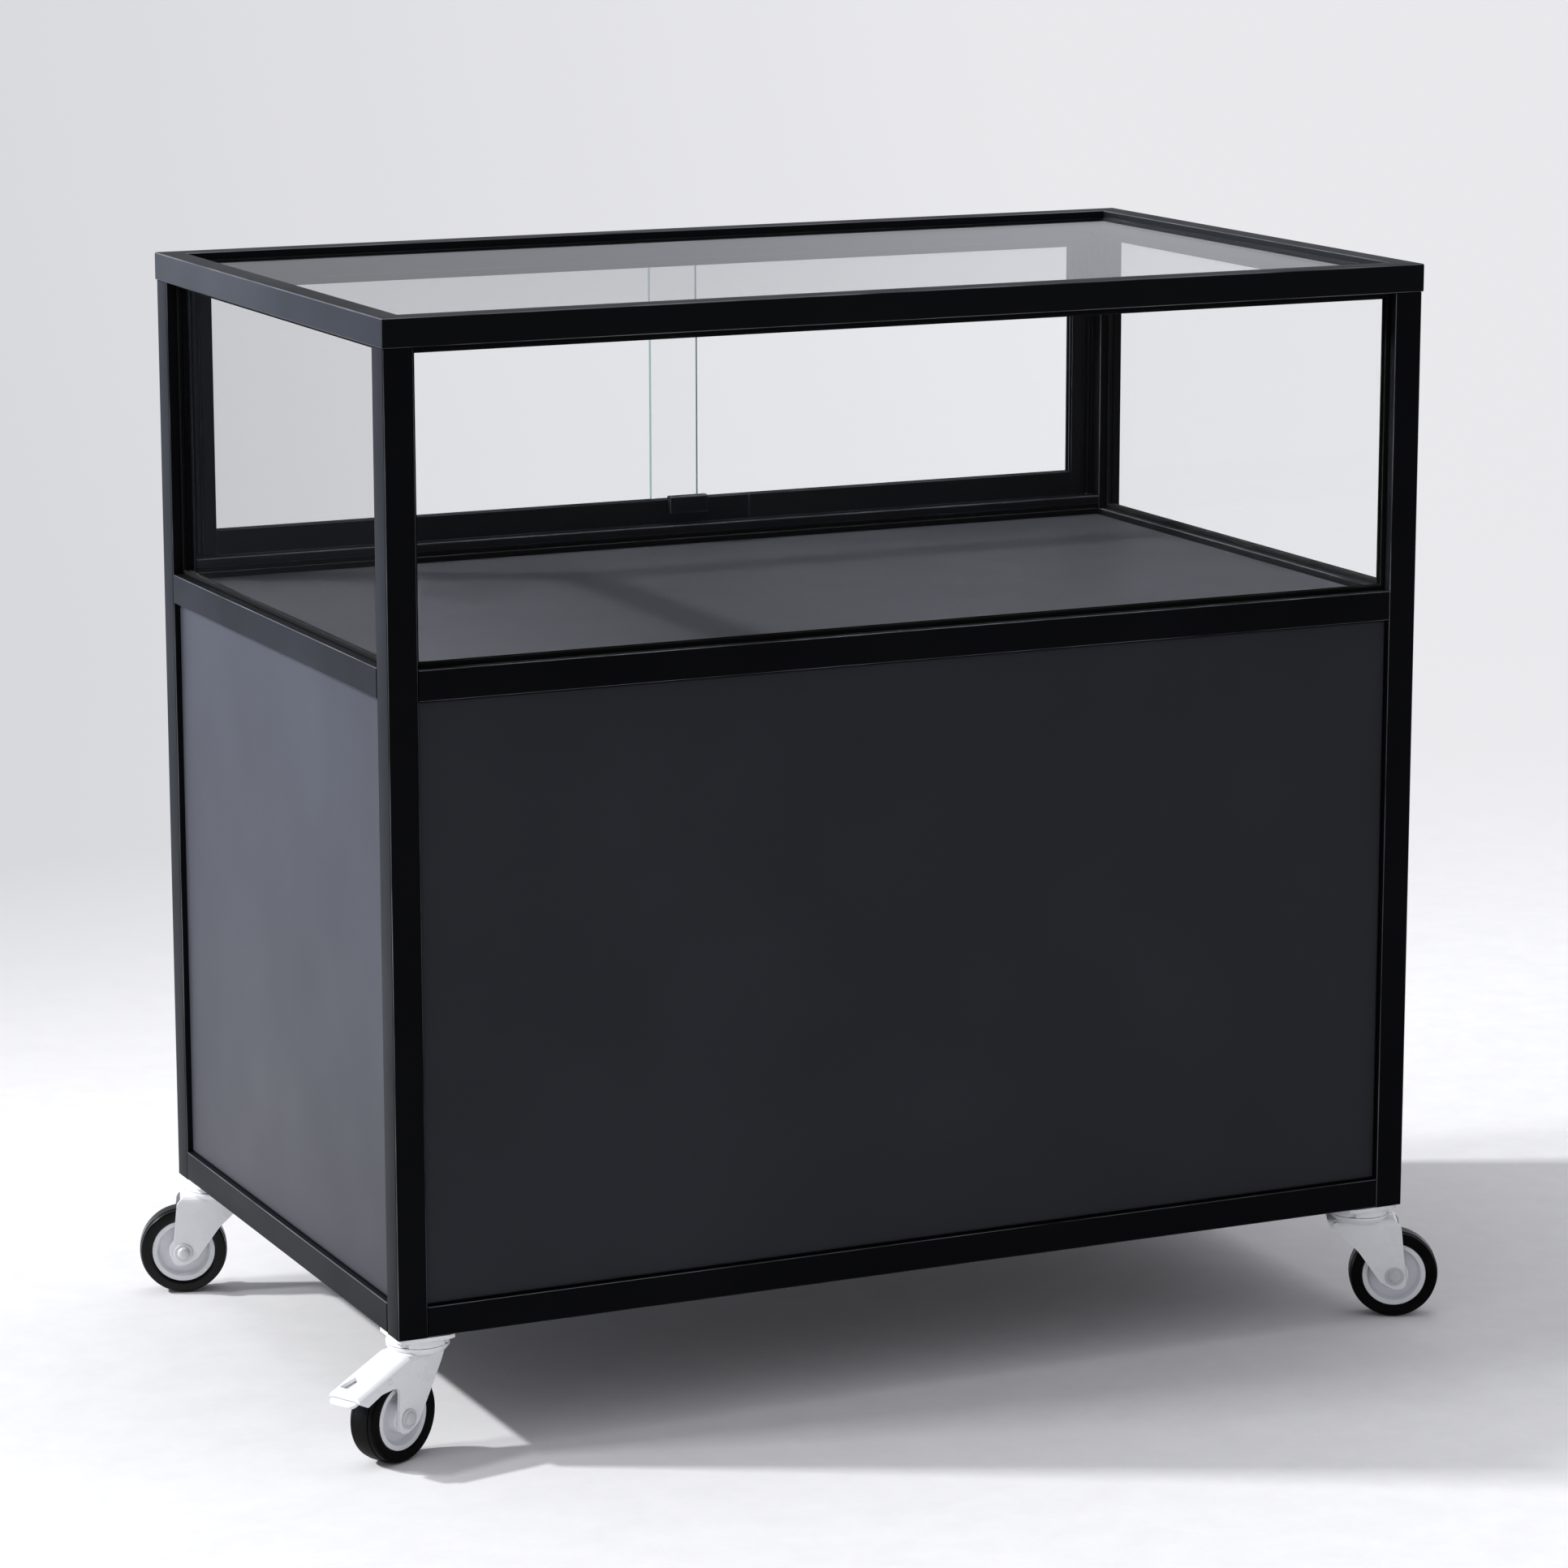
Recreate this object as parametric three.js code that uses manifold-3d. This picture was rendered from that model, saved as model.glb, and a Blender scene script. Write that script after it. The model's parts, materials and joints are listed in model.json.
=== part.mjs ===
// Glass display counter on castors: a square-tube frame with a glazed showcase above a closed
// cupboard, sliding doors at the rear and four swivel castors, two of them with a brake.
//
// Frame: millimetres, +Z up, origin on the floor under the middle of the cabinet. The customer's
// side faces -Y, the doors are on the +Y side, and the width runs along X.

import * as THREE from 'three';
import { mergeVertices } from 'three/addons/utils/BufferGeometryUtils.js';
import Module from 'manifold-3d';

// Overall sizes
const counterWidth = 910;
const counterDepth = 535;
const counterHeight = 900;
const railTop = 630;

// Square tube frame, with the gap left at each butted seam and the clearance of each seated piece
const tubeSide = 25;
const tubeWall = 1.5;
const tubeCorner = 2;
const seam = 0.3;
const fit = 0.3;

// Mitred top frame: a hollow ring with a land round the glass and a ledge under it
const capHeight = 23;
const capOverhang = 1;
const capLand = 20;
const capLedge = 10;
const capWall = 2;
const capArris = 1.5;

// Top glass, lying on a tape on the ledge and recessed below the land
const topGlassThickness = 6;
const topGlassRecess = 5;
const tapeWidth = 7;
const tapeThickness = 1;

// Side glazing: panes in a U-shaped gasket, with a glazing stop hanging from the top frame
const paneThickness = 6;
const paneInset = 10;
const gasketWall = 1;
const gasketHeight = 3.5;
const stopHeight = 6.5;

// Display deck: a board let in between the mid rails, with a shadow groove round its top
const deckThickness = 16;
const deckDrop = 5;
const deckGroove = 3;
const deckGrooveDepth = 5;

// Base board between the bottom rails
const baseThickness = 16;

// Folded steel panels that close the cupboard at the front and the sides
const panelRecess = 5;
const panelSheet = 1.5;
const panelReturn = 15;
const panelBend = 2;

// Rear tracks of the glass doors: a sill, a head and two jambs, each with two channels
const trackDepth = 13;
const trackWall = 1.2;
const sillHeight = 32.5;
const sillFloor = 1.5;
const channelDepth = 8;
const sillLedge = 11;
const sillLip = 8;
const sillLipArris = 1.5;
const sillFoot = 16;
const headHeight = 13.5;
const headLipHeight = 6.5;
const jambWidth = 22;
const jambPocket = 8.5;
const jambBand = 10;
const jambRibHeight = 4;
const jambRibSpanShares = [[0.82, 0.9], [0.37, 0.5], [0.03, 0.17]];
const stripPlace = 85;
const stripWidth = 1.5;
const stripDepth = 1;

// Frameless glass doors, which pass each other a little right of the middle
const glassDoorThickness = 4;
const glassDoorBite = 4;
const glassDoorOverlap = 47;
const glassDoorMeeting = 14.5;

// Catch clamped on the lower corner of the right-hand glass door
const catchWidth = 36;
const catchHeight = 12.5;
const catchThickness = 6;
const catchCorner = 2;
const catchJaw = 3;
const catchFromEdge = 15;

// Sliding cupboard doors and their tracks
const cupboardDoorThickness = 8;
const cupboardDoorOverlap = 30;
const cupboardDoorBite = 8;
const cupboardTrackWall = 1.5;
const cupboardSillHeight = 8;
const cupboardHeadHeight = 18;
const pullLength = 70;
const pullWidth = 20;
const pullDepth = 3;
const pullFromEdge = 40;

// Castor wheel: tyre, rim and hub
const wheelDiameter = 75;
const tyreWidth = 24;
const tyreShoulder = 5.5;
const tyreCrown = 0.8;
const tyreDepth = 10.5;
const rimLip = 1.4;
const rimWidth = 22;
const rimFlange = 2;
const rimWall = 3.4;
const hubRadius = 12.4;
const hubWidth = 27.4;
const webThickness = 8;
const webDraft = 1.4;

// Castor axle: a shank with a washer and a round head at each end
const axleRadius = 4;
const axleHeadRadius = 5.3;
const axleHeadHeight = 3.4;
const washerRadius = 8;
const washerThickness = 1;

// Castor fork, pressed from sheet. Reaches are measured from the axle, along the trail or against it
const castorInset = 26;
const castorTrail = 30;
const forkWidth = 34;
const forkSheet = 3;
const forkBend = 5;
const forkClearance = 9;
const forkLegRadius = 10.5;
const forkShoulder = 6;
const forkReach = 5;
const forkLobe = 58;
const forkLobeDepth = 11;
const forkCrown = 44;
const forkWaist = 31;
const forkWaistDepth = 28;
const forkWaistRadius = 34;
const rivetReach = 50.5;
const rivetDrop = 4.5;
const rivetRadius = 2.6;
const rivetHead = 1.6;

// Hood pressed in one piece with the fork of a braked castor
const hoodFold = 3;
const hoodReach = 54.5;
const hoodDrop = 20.2;
const hoodSkirt = 9;
const archDrop = 21;
const archReach = 19;
const windowReach = 33;
const windowLength = 14;
const windowNarrow = 5;
const windowWide = 12;
const windowCentre = -6;
const windowCorner = 1;

// Castor top plate with its four slots, ball race and kingpin
const plateSide = 50;
const plateThickness = 3.2;
const plateCorner = 8;
const plateSlotLength = 9;
const plateSlotWidth = 6;
const plateSlotPlace = 19;
const raceRadius = 25.5;
const raceNeck = 23;
const raceGap = 0.5;
const raceBand = 3.6;
const raceRise = 5.4;
const kingpinRadius = 6;
const kingpinHeadRadius = 9;
const kingpinHeadHeight = 3;

// Brake pedal inside the hood, turning on a cross pin
const pedalPinReach = 20;
const pedalPinGap = 0.65;
const pedalPinRadius = 2;
const pedalSheet = 2.5;
const pedalWidth = 26;
const pedalReach = 61.5;
const pedalTipCorner = 5;
const pedalClearance = 0.8;
const shoeReach = 29;
const shoeLength = 6;
const shoeHeight = 2.2;

// Castor places and the direction in which each wheel trails, in degrees about +Z
const castors = [
  { name: 'front_left', side: -1, end: -1, trails: 206.3, braked: true },
  { name: 'front_right', side: 1, end: -1, trails: -26.3, braked: false },
  { name: 'rear_left', side: -1, end: 1, trails: 162, braked: false },
  { name: 'rear_right', side: 1, end: 1, trails: 26.3, braked: true },
];

// Facets of a fillet and of a full turn, and how far a cutting body runs past what it cuts
const filletSteps = 3;
const cornerSteps = 2;
const turnSteps = 20;
const pinSteps = 12;
const overrun = 5;
const weldDistance = 1e-4;

// Levels and places that follow from the sizes above
const halfWidth = counterWidth / 2;
const halfDepth = counterDepth / 2;
const innerHalfWidth = halfWidth - tubeSide;
const innerHalfDepth = halfDepth - tubeSide;
const capBottom = counterHeight - capHeight;
const wheelRadius = wheelDiameter / 2;
const axleHeight = wheelRadius;
const forkTop = wheelDiameter + forkClearance + forkSheet;
const upperRaceBottom = forkTop + raceBand + raceGap;
const plateBottom = upperRaceBottom + raceRise;
const castorHeight = plateBottom + plateThickness + seam;
const lowRailTop = castorHeight + tubeSide;
const midRailBottom = railTop - tubeSide;
const deckTop = railTop - deckDrop;
const slotWidth = (trackDepth - 3 * trackWall) / 2;

const wasm = await Module();
wasm.setup();

// Finishes
function finish(color, roughness, metalness, opacity = 1) {
  return new THREE.MeshStandardMaterial({ color, roughness, metalness, opacity, transparent: opacity < 1 });
}
const blackPowderCoat = () => finish(0x17171a, 0.45, 0.1);
const charcoalPanel = () => finish(0x27272c, 0.6, 0.1);
const greyDeck = () => finish(0x3a3b3f, 0.7, 0);
const blackAnodised = () => finish(0x1b1c1f, 0.4, 0.5);
const blackRubber = () => finish(0x0e0e10, 0.75, 0);
const clearGlass = () => finish(0xdfe9ea, 0.03, 0, 0.25);
const whitePaintedSteel = () => finish(0xe9eaee, 0.35, 0.1);
const paleGreyPlastic = () => finish(0xb9bcc4, 0.5, 0);
const zincPlate = () => finish(0xc9cbd0, 0.3, 0.9);

// Shape helpers

// Outline whose corners are [x, y] or [x, y, radius]; a radius is held to what its edges allow.
function filletOutline(corners, steps = filletSteps) {
  const outline = [];
  corners.forEach(([x, y, wanted = 0], i) => {
    const corner = new THREE.Vector2(x, y);
    if (wanted === 0) {
      outline.push(corner);
      return;
    }
    const before = new THREE.Vector2(...corners.at(i - 1).slice(0, 2)).sub(corner);
    const after = new THREE.Vector2(...corners[(i + 1) % corners.length].slice(0, 2)).sub(corner);
    const shortest = Math.min(before.length(), after.length()) / 2;
    before.normalize();
    after.normalize();
    const halfAngle = Math.acos(THREE.MathUtils.clamp(before.dot(after), -1, 1)) / 2;
    const radius = Math.min(wanted, shortest * Math.tan(halfAngle));
    const reach = radius / Math.tan(halfAngle);
    const middle = before.clone().add(after).normalize().multiplyScalar(radius / Math.sin(halfAngle));
    const centre = corner.clone().add(middle);
    const start = corner.clone().addScaledVector(before, reach).sub(centre);
    const end = corner.clone().addScaledVector(after, reach).sub(centre);
    const sweep = Math.atan2(start.cross(end), start.dot(end));
    for (let k = 0; k <= steps; k += 1) {
      const turned = start.clone().rotateAround(new THREE.Vector2(), (sweep * k) / steps);
      outline.push(turned.add(centre));
    }
  });
  return outline;
}

// Rectangle about a centre, with rounded corners.
function rectangle(width, height, radius = 0, x = 0, y = 0) {
  const [w, h] = [width / 2, height / 2];
  const corners = [
    [x - w, y - h, radius],
    [x + w, y - h, radius],
    [x + w, y + h, radius],
    [x - w, y + h, radius],
  ];
  return filletOutline(corners, cornerSteps);
}

// Straight prism of an outline with holes, from z = 0 to z = length.
function prism(outline, length, holes = []) {
  const shape = new THREE.Shape(outline);
  shape.holes = holes.map((hole) => new THREE.Path(hole));
  return new THREE.ExtrudeGeometry(shape, { depth: length, bevelEnabled: false });
}

// Prism along X: the outline's first axis becomes Y and its second Z.
function prismAlongX(outline, length, holes = []) {
  return prism(outline, length, holes).rotateX(Math.PI / 2).rotateZ(Math.PI / 2).translate(-length / 2, 0, 0);
}

// Prism across the castor: the outline lies in the wheel's plane, X and Z, and is centred on Y.
function prismAlongY(outline, length, holes = []) {
  return prism(outline, length, holes).rotateX(Math.PI / 2).translate(0, length / 2, 0);
}

function box(width, depth, height, x, y, z) {
  return new THREE.BoxGeometry(width, depth, height).translate(x, y, z + height / 2);
}

// Ring round a rectangle with mitred corners. The section's points are [inset, height].
function mitredRing(section, halfX, halfY) {
  const corners = [[-1, -1], [1, -1], [1, 1], [-1, 1]];
  const places = corners.flatMap(([sx, sy]) =>
    section.flatMap(({ x: inset, y: height }) => [sx * (halfX - inset), sy * (halfY - inset), height]),
  );
  const faces = [];
  const count = section.length;
  for (let c = 0; c < corners.length; c += 1) {
    const next = (c + 1) % corners.length;
    for (let p = 0; p < count; p += 1) {
      const q = (p + 1) % count;
      const [a, b, d, e] = [c * count + p, next * count + p, next * count + q, c * count + q];
      faces.push(a, d, b, a, e, d);
    }
  }
  const ring = new THREE.BufferGeometry();
  ring.setAttribute('position', new THREE.Float32BufferAttribute(places, 3));
  ring.setIndex(faces);
  return ring;
}

// Turned body about Z. The profile's points are [radius, height], from the axis back to it or closed.
function turned(profile, closed = false, steps = turnSteps) {
  const points = profile.map(([r, h]) => new THREE.Vector2(r, h));
  if (closed) {
    points.push(points[0].clone());
  }
  return new THREE.LatheGeometry(points, steps).rotateX(Math.PI / 2);
}

// Boolean solids
function solid(geometry) {
  const bare = geometry.clone();
  bare.deleteAttribute('normal');
  bare.deleteAttribute('uv');
  const merged = mergeVertices(bare, weldDistance);
  return new wasm.Manifold(
    new wasm.Mesh({
      numProp: 3,
      vertProperties: new Float32Array(merged.attributes.position.array),
      triVerts: new Uint32Array(merged.index.array),
    }),
  );
}

const cut = (body, ...tools) => tools.map(solid).reduce((left, tool) => left.subtract(tool), body);

function surface(body) {
  const mesh = body.getMesh();
  const geometry = new THREE.BufferGeometry();
  geometry.setAttribute('position', new THREE.Float32BufferAttribute(mesh.vertProperties, mesh.numProp));
  geometry.setIndex(Array.from(mesh.triVerts));
  geometry.computeVertexNormals();
  return geometry;
}

const counter = new THREE.Group();

function addPiece(name, geometry, material, parent = counter) {
  const mesh = new THREE.Mesh(geometry, material);
  mesh.name = name;
  parent.add(mesh);
  return mesh;
}

// A group turned so that its own -Y side faces out on one side of the cabinet.
function facing(degrees) {
  const group = new THREE.Group();
  group.rotation.z = THREE.MathUtils.degToRad(degrees);
  counter.add(group);
  return group;
}

const sides = [
  { name: 'front', group: facing(0), face: halfDepth, halfSpan: innerHalfWidth },
  { name: 'rear', group: facing(180), face: halfDepth, halfSpan: innerHalfWidth },
  { name: 'left', group: facing(-90), face: halfWidth, halfSpan: innerHalfDepth },
  { name: 'right', group: facing(90), face: halfWidth, halfSpan: innerHalfDepth },
];
const closedSides = sides.filter(({ name }) => name !== 'rear');

// Square tube frame: four posts, and two rails on each side butted between them
const tubeOutline = rectangle(tubeSide, tubeSide, tubeCorner);
const tubeBore = rectangle(tubeSide - 2 * tubeWall, tubeSide - 2 * tubeWall);
const postX = halfWidth - tubeSide / 2;
const postY = halfDepth - tubeSide / 2;
const postHeight = capBottom - seam - castorHeight;

for (const [name, sx, sy] of [
  ['front_left', -1, -1],
  ['front_right', 1, -1],
  ['rear_left', -1, 1],
  ['rear_right', 1, 1],
]) {
  const post = addPiece(`${name}_post`, prism(tubeOutline, postHeight, [tubeBore]), blackPowderCoat());
  post.position.set(sx * postX, sy * postY, castorHeight);
}

for (const { name, group, face, halfSpan } of sides) {
  const length = 2 * (halfSpan - seam);
  for (const [level, top] of [['bottom', lowRailTop], ['mid', railTop]]) {
    const tube = prismAlongX(tubeOutline, length, [tubeBore]);
    const rail = addPiece(`${name}_${level}_rail`, tube, blackPowderCoat(), group);
    rail.position.set(0, tubeSide / 2 - face, top - tubeSide / 2);
  }
}

// Mitred top frame, hollow, open over each post, with a glazing stop along each glazed side
const capX = halfWidth + capOverhang;
const capY = halfDepth + capOverhang;
const landInset = capLand + capOverhang;
const ledgeInset = landInset + capLedge;
const glassTop = counterHeight - topGlassRecess;
const glassBottom = glassTop - topGlassThickness;
const tapeTop = glassBottom - fit;
const ledgeTop = tapeTop - tapeThickness - fit;

const capSection = filletOutline([
  [0, capBottom, capArris],
  [ledgeInset, capBottom],
  [ledgeInset, ledgeTop],
  [landInset, ledgeTop],
  [landInset, counterHeight, capArris],
  [0, counterHeight, capArris],
]);
const capHollow = filletOutline([
  [capWall, capBottom + capWall],
  [ledgeInset - capWall, capBottom + capWall],
  [ledgeInset - capWall, ledgeTop - capWall],
  [landInset - capWall, ledgeTop - capWall],
  [landInset - capWall, counterHeight - capWall],
  [capWall, counterHeight - capWall],
]);
const boreSide = tubeSide - 2 * tubeWall;
const postMouths = [[-1, -1], [1, -1], [1, 1], [-1, 1]].map(([sx, sy]) =>
  box(boreSide, boreSide, capWall + overrun, sx * postX, sy * postY, capBottom - overrun / 2),
);
const stopOuter = paneInset + paneThickness + gasketWall + 2 * fit;
const stopDepth = tubeSide - stopOuter;
const glazingStops = closedSides.map(({ group, face, halfSpan }) => {
  const length = 2 * (halfSpan - fit);
  const place = stopOuter + stopDepth / 2 - face;
  const stop = box(length, stopDepth, stopHeight + capWall, 0, place, capBottom - stopHeight);
  return stop.rotateZ(group.rotation.z);
});
const capRing = solid(mitredRing(capSection, capX, capY));
const capBody = cut(capRing, mitredRing(capHollow, capX, capY), ...postMouths);
const capWithStops = glazingStops.map(solid).reduce((sum, stop) => sum.add(stop), capBody);
addPiece('top_frame', surface(capWithStops), blackPowderCoat());

// Top glass and the tape that it lies on
const glassHalfX = capX - landInset - fit;
const glassHalfY = capY - landInset - fit;
const topGlass = addPiece(
  'top_glass',
  prism(rectangle(2 * glassHalfX, 2 * glassHalfY), topGlassThickness),
  clearGlass(),
);
topGlass.position.z = glassBottom;
const tapeSection = rectangle(tapeWidth, tapeThickness, 0, tapeWidth / 2, tapeTop - tapeThickness / 2);
addPiece('top_glass_tape', mitredRing(tapeSection, glassHalfX, glassHalfY), blackRubber());

// Panes of the front and the sides, each in a gasket that grips its edges
const glazingBottom = railTop + fit;
const glazingTop = capBottom - fit;
const gasketHalfHeight = (glazingTop - glazingBottom) / 2;
const gripWidth = paneThickness + 2 * (fit + gasketWall);
const gasketSection = [
  [0, 0],
  [gasketHeight, 0],
  [gasketHeight, gasketWall],
  [gasketWall, gasketWall],
  [gasketWall, gripWidth - gasketWall],
  [gasketHeight, gripWidth - gasketWall],
  [gasketHeight, gripWidth],
  [0, gripWidth],
].map(([inset, height]) => new THREE.Vector2(inset, height));

for (const { name, group, face, halfSpan } of closedSides) {
  const glazing = new THREE.Group();
  glazing.rotation.x = Math.PI / 2;
  glazing.position.set(0, paneInset - fit - gasketWall + gripWidth - face, (glazingTop + glazingBottom) / 2);
  group.add(glazing);
  const gasketHalfSpan = halfSpan - fit;
  const gasket = mitredRing(gasketSection, gasketHalfSpan, gasketHalfHeight);
  addPiece(`${name}_gasket`, gasket, blackRubber(), glazing);
  const rim = gasketWall + fit;
  const pane = prism(rectangle(2 * (gasketHalfSpan - rim), 2 * (gasketHalfHeight - rim)), paneThickness);
  addPiece(`${name}_glass`, pane, clearGlass(), glazing).position.z = rim;
}

// Display deck with a shadow groove round its top, and the base board
const deckHalfX = innerHalfWidth - fit;
const deckHalfY = innerHalfDepth - fit;
const deckBoard = box(2 * deckHalfX, 2 * deckHalfY, deckThickness, 0, 0, deckTop - deckThickness);
const grooveSection = [
  [-overrun, deckTop - deckGrooveDepth],
  [deckGroove, deckTop - deckGrooveDepth],
  [deckGroove, deckTop + overrun],
  [-overrun, deckTop + overrun],
].map(([inset, height]) => new THREE.Vector2(inset, height));
const deckBody = cut(solid(deckBoard), mitredRing(grooveSection, deckHalfX, deckHalfY));
addPiece('display_deck', surface(deckBody), greyDeck());
const baseBoard = box(2 * deckHalfX, 2 * deckHalfY, baseThickness, 0, 0, castorHeight);
addPiece('base_board', baseBoard, charcoalPanel());

// Folded panels: a sheet with rounded folds and returns along its four edges, open at the back
const panelBottom = lowRailTop + fit;
const panelTop = midRailBottom - fit;
for (const { name, group, face, halfSpan } of closedSides) {
  const width = 2 * (halfSpan - fit);
  const height = panelTop - panelBottom;
  const middle = (panelTop + panelBottom) / 2;
  const front = panelRecess - face;
  const flat = new THREE.Shape(rectangle(width - 2 * panelBend, height - 2 * panelBend));
  const shell = new THREE.ExtrudeGeometry(flat, {
    depth: panelReturn,
    bevelThickness: panelBend,
    bevelSize: panelBend,
    bevelSegments: filletSteps,
  });
  shell.rotateX(Math.PI / 2).translate(0, front + panelBend + panelReturn, middle);
  const inside = box(
    width - 2 * panelSheet,
    panelReturn + overrun,
    height - 2 * panelSheet,
    0,
    front + panelSheet + (panelReturn + overrun) / 2,
    middle - height / 2 + panelSheet,
  );
  const behind = box(
    width + overrun,
    panelReturn,
    height + overrun,
    0,
    front + panelReturn + panelReturn / 2,
    middle - (height + overrun) / 2,
  );
  addPiece(`${name}_panel`, surface(cut(solid(shell), inside, behind)), charcoalPanel(), group);
}

// Sections of the rear tracks are drawn with their depth measured inwards from the rear face
const rearFace = halfDepth;
const inward = (points) => points.map((p) => new THREE.Vector2(rearFace - p.x, p.y)).reverse();
const slotStarts = [trackWall, 2 * trackWall + slotWidth];

// Sill: two channels above a chamber, and in front of them a ledge that ends in a rounded lip
const sillTop = railTop + seam + sillHeight;
const sillBottom = railTop + seam;
const channelFloor = sillTop - channelDepth;
const ledgeLevel = sillBottom + sillLedge;
const lipDepth = tubeSide;
const sillSection = inward(
  filletOutline([
    [0, sillBottom],
    [0, sillTop],
    ...slotStarts.flatMap((start) => [
      [start, sillTop],
      [start, channelFloor],
      [start + slotWidth, channelFloor],
      [start + slotWidth, sillTop],
    ]),
    [trackDepth, sillTop],
    [trackDepth, ledgeLevel],
    [lipDepth, ledgeLevel, sillLipArris],
    [lipDepth, ledgeLevel - sillLip, sillLipArris],
    [sillFoot, ledgeLevel - sillLip],
    [sillFoot, sillBottom],
  ]),
);
const sillChamber = inward(
  rectangle(
    trackDepth - 2 * trackWall,
    channelFloor - sillBottom - 2 * sillFloor,
    0,
    trackDepth / 2,
    (channelFloor + sillBottom) / 2,
  ),
);
const trackLength = 2 * (innerHalfWidth - seam);
const jambInner = innerHalfWidth - jambWidth;
const jambSeats = [-1, 1].map((side) =>
  box(
    jambWidth + overrun,
    trackDepth + overrun,
    sillTop - ledgeLevel + overrun,
    side * (jambInner - seam + (jambWidth + overrun) / 2),
    rearFace - trackDepth / 2,
    ledgeLevel,
  ),
);
const strip = box(
  stripWidth,
  stripDepth + trackWall,
  sillTop - ledgeLevel,
  stripPlace,
  rearFace - trackDepth - (stripDepth - trackWall) / 2,
  ledgeLevel,
);
const sillProfile = solid(prismAlongX(sillSection, trackLength, [sillChamber]));
const sillBody = cut(sillProfile.add(solid(strip)), ...jambSeats);
addPiece('lower_glass_track', surface(sillBody), blackAnodised());

// Head: the same two channels upside down between the jambs, with a lip towards the showcase
const headTop = capBottom - seam;
const headBottom = headTop - headHeight;
const headSection = inward(
  filletOutline([
    [0, headBottom],
    [0, headTop],
    [lipDepth, headTop],
    [lipDepth, headTop - headLipHeight, sillLipArris],
    [trackDepth, headTop - headLipHeight],
    [trackDepth, headBottom],
    ...slotStarts.toReversed().flatMap((start) => [
      [start + slotWidth, headBottom],
      [start + slotWidth, headTop - sillFloor],
      [start, headTop - sillFloor],
      [start, headBottom],
    ]),
  ]),
);
const headLength = 2 * (jambInner - seam);
addPiece('upper_glass_track', prismAlongX(headSection, headLength), blackAnodised());

// Jambs: two pockets for the doors' edges, and fins on the side of the showcase
const finSpace = jambWidth - jambBand;
const fins = jambRibSpanShares.flatMap(([near, far]) => [
  [far * finSpace, trackDepth - jambRibHeight],
  [far * finSpace, trackDepth],
  [near * finSpace, trackDepth],
  [near * finSpace, trackDepth - jambRibHeight],
]);
const pocketEnd = jambWidth - jambPocket;
const jambSection = [
  [0, 0],
  [jambWidth, 0],
  ...slotStarts.flatMap((start) => [
    [jambWidth, start],
    [pocketEnd, start],
    [pocketEnd, start + slotWidth],
    [jambWidth, start + slotWidth],
  ]),
  [jambWidth, trackDepth],
  [finSpace, trackDepth],
  [finSpace, trackDepth - jambRibHeight],
  ...fins,
  [0, trackDepth - jambRibHeight],
];
const jambBottom = ledgeLevel + seam;
const jambHeight = capBottom - seam - jambBottom;
for (const [name, side] of [['left', -1], ['right', 1]]) {
  const outline = jambSection.map(
    ([inset, depth]) => new THREE.Vector2(side * (innerHalfWidth - seam - inset), rearFace - depth),
  );
  addPiece(`${name}_track_jamb`, prism(outline, jambHeight), blackAnodised()).position.z = jambBottom;
}

// Glass doors: the left one runs in the outer channel and the right one in the inner channel
const doorEnd = innerHalfWidth - seam - pocketEnd - fit;
const doorFoot = channelFloor + fit;
const doorHead = headBottom + glassDoorBite;
const doorsMeet = [glassDoorMeeting + glassDoorOverlap / 2, glassDoorMeeting - glassDoorOverlap / 2];
for (const [name, side, channel] of [['left', -1, 0], ['right', 1, 1]]) {
  const width = doorEnd + -side * doorsMeet[channel];
  const pane = box(width, glassDoorThickness, doorHead - doorFoot, side * (doorEnd - width / 2), 0, doorFoot);
  const door = addPiece(`glass_door_${name}`, pane, clearGlass());
  door.position.y = rearFace - slotStarts[channel] - slotWidth / 2;
}

// Catch: a block in front of the sill, with a jaw over the sill's front wall against the pane
const innerPaneFront = slotStarts[1] + (slotWidth + glassDoorThickness) / 2;
const catchBack = trackDepth + fit;
const catchLeft = doorsMeet[1] + catchFromEdge;
const jawTop = sillTop + fit + catchJaw;
const catchBlock = prismAlongX(
  inward(
    filletOutline([
      [catchBack, sillTop - catchHeight],
      [catchBack, sillTop + fit],
      [innerPaneFront + fit, sillTop + fit],
      [innerPaneFront + fit, jawTop],
      [catchBack + catchThickness, jawTop, catchCorner],
      [catchBack + catchThickness, sillTop - catchHeight, catchCorner],
    ]),
  ),
  catchWidth,
);
addPiece('door_catch', catchBlock, blackAnodised()).position.x = catchLeft + catchWidth / 2;

// Cupboard tracks: plain double channels on the rear bottom rail and under the rear mid rail
const cupboardSlot = (tubeSide - 3 * cupboardTrackWall) / 2;
const cupboardSlots = [cupboardTrackWall, 2 * cupboardTrackWall + cupboardSlot];
const cupboardFloor = lowRailTop + seam;
const cupboardRoof = midRailBottom - seam;
const doubleChannel = (web, lips) => {
  const inside = web + Math.sign(lips - web) * cupboardTrackWall;
  const section = [
    [0, web],
    [0, lips],
    ...cupboardSlots.flatMap((start) => [
      [start, lips],
      [start, inside],
      [start + cupboardSlot, inside],
      [start + cupboardSlot, lips],
    ]),
    [tubeSide, lips],
    [tubeSide, web],
  ].map(([depth, level]) => new THREE.Vector2(depth, level));
  return prismAlongX(inward(section), trackLength);
};
const sillLips = cupboardFloor + cupboardSillHeight;
const headLips = cupboardRoof - cupboardHeadHeight;
addPiece('lower_cupboard_track', doubleChannel(cupboardFloor, sillLips), blackAnodised());
addPiece('upper_cupboard_track', doubleChannel(cupboardRoof, headLips), blackAnodised());

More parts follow.
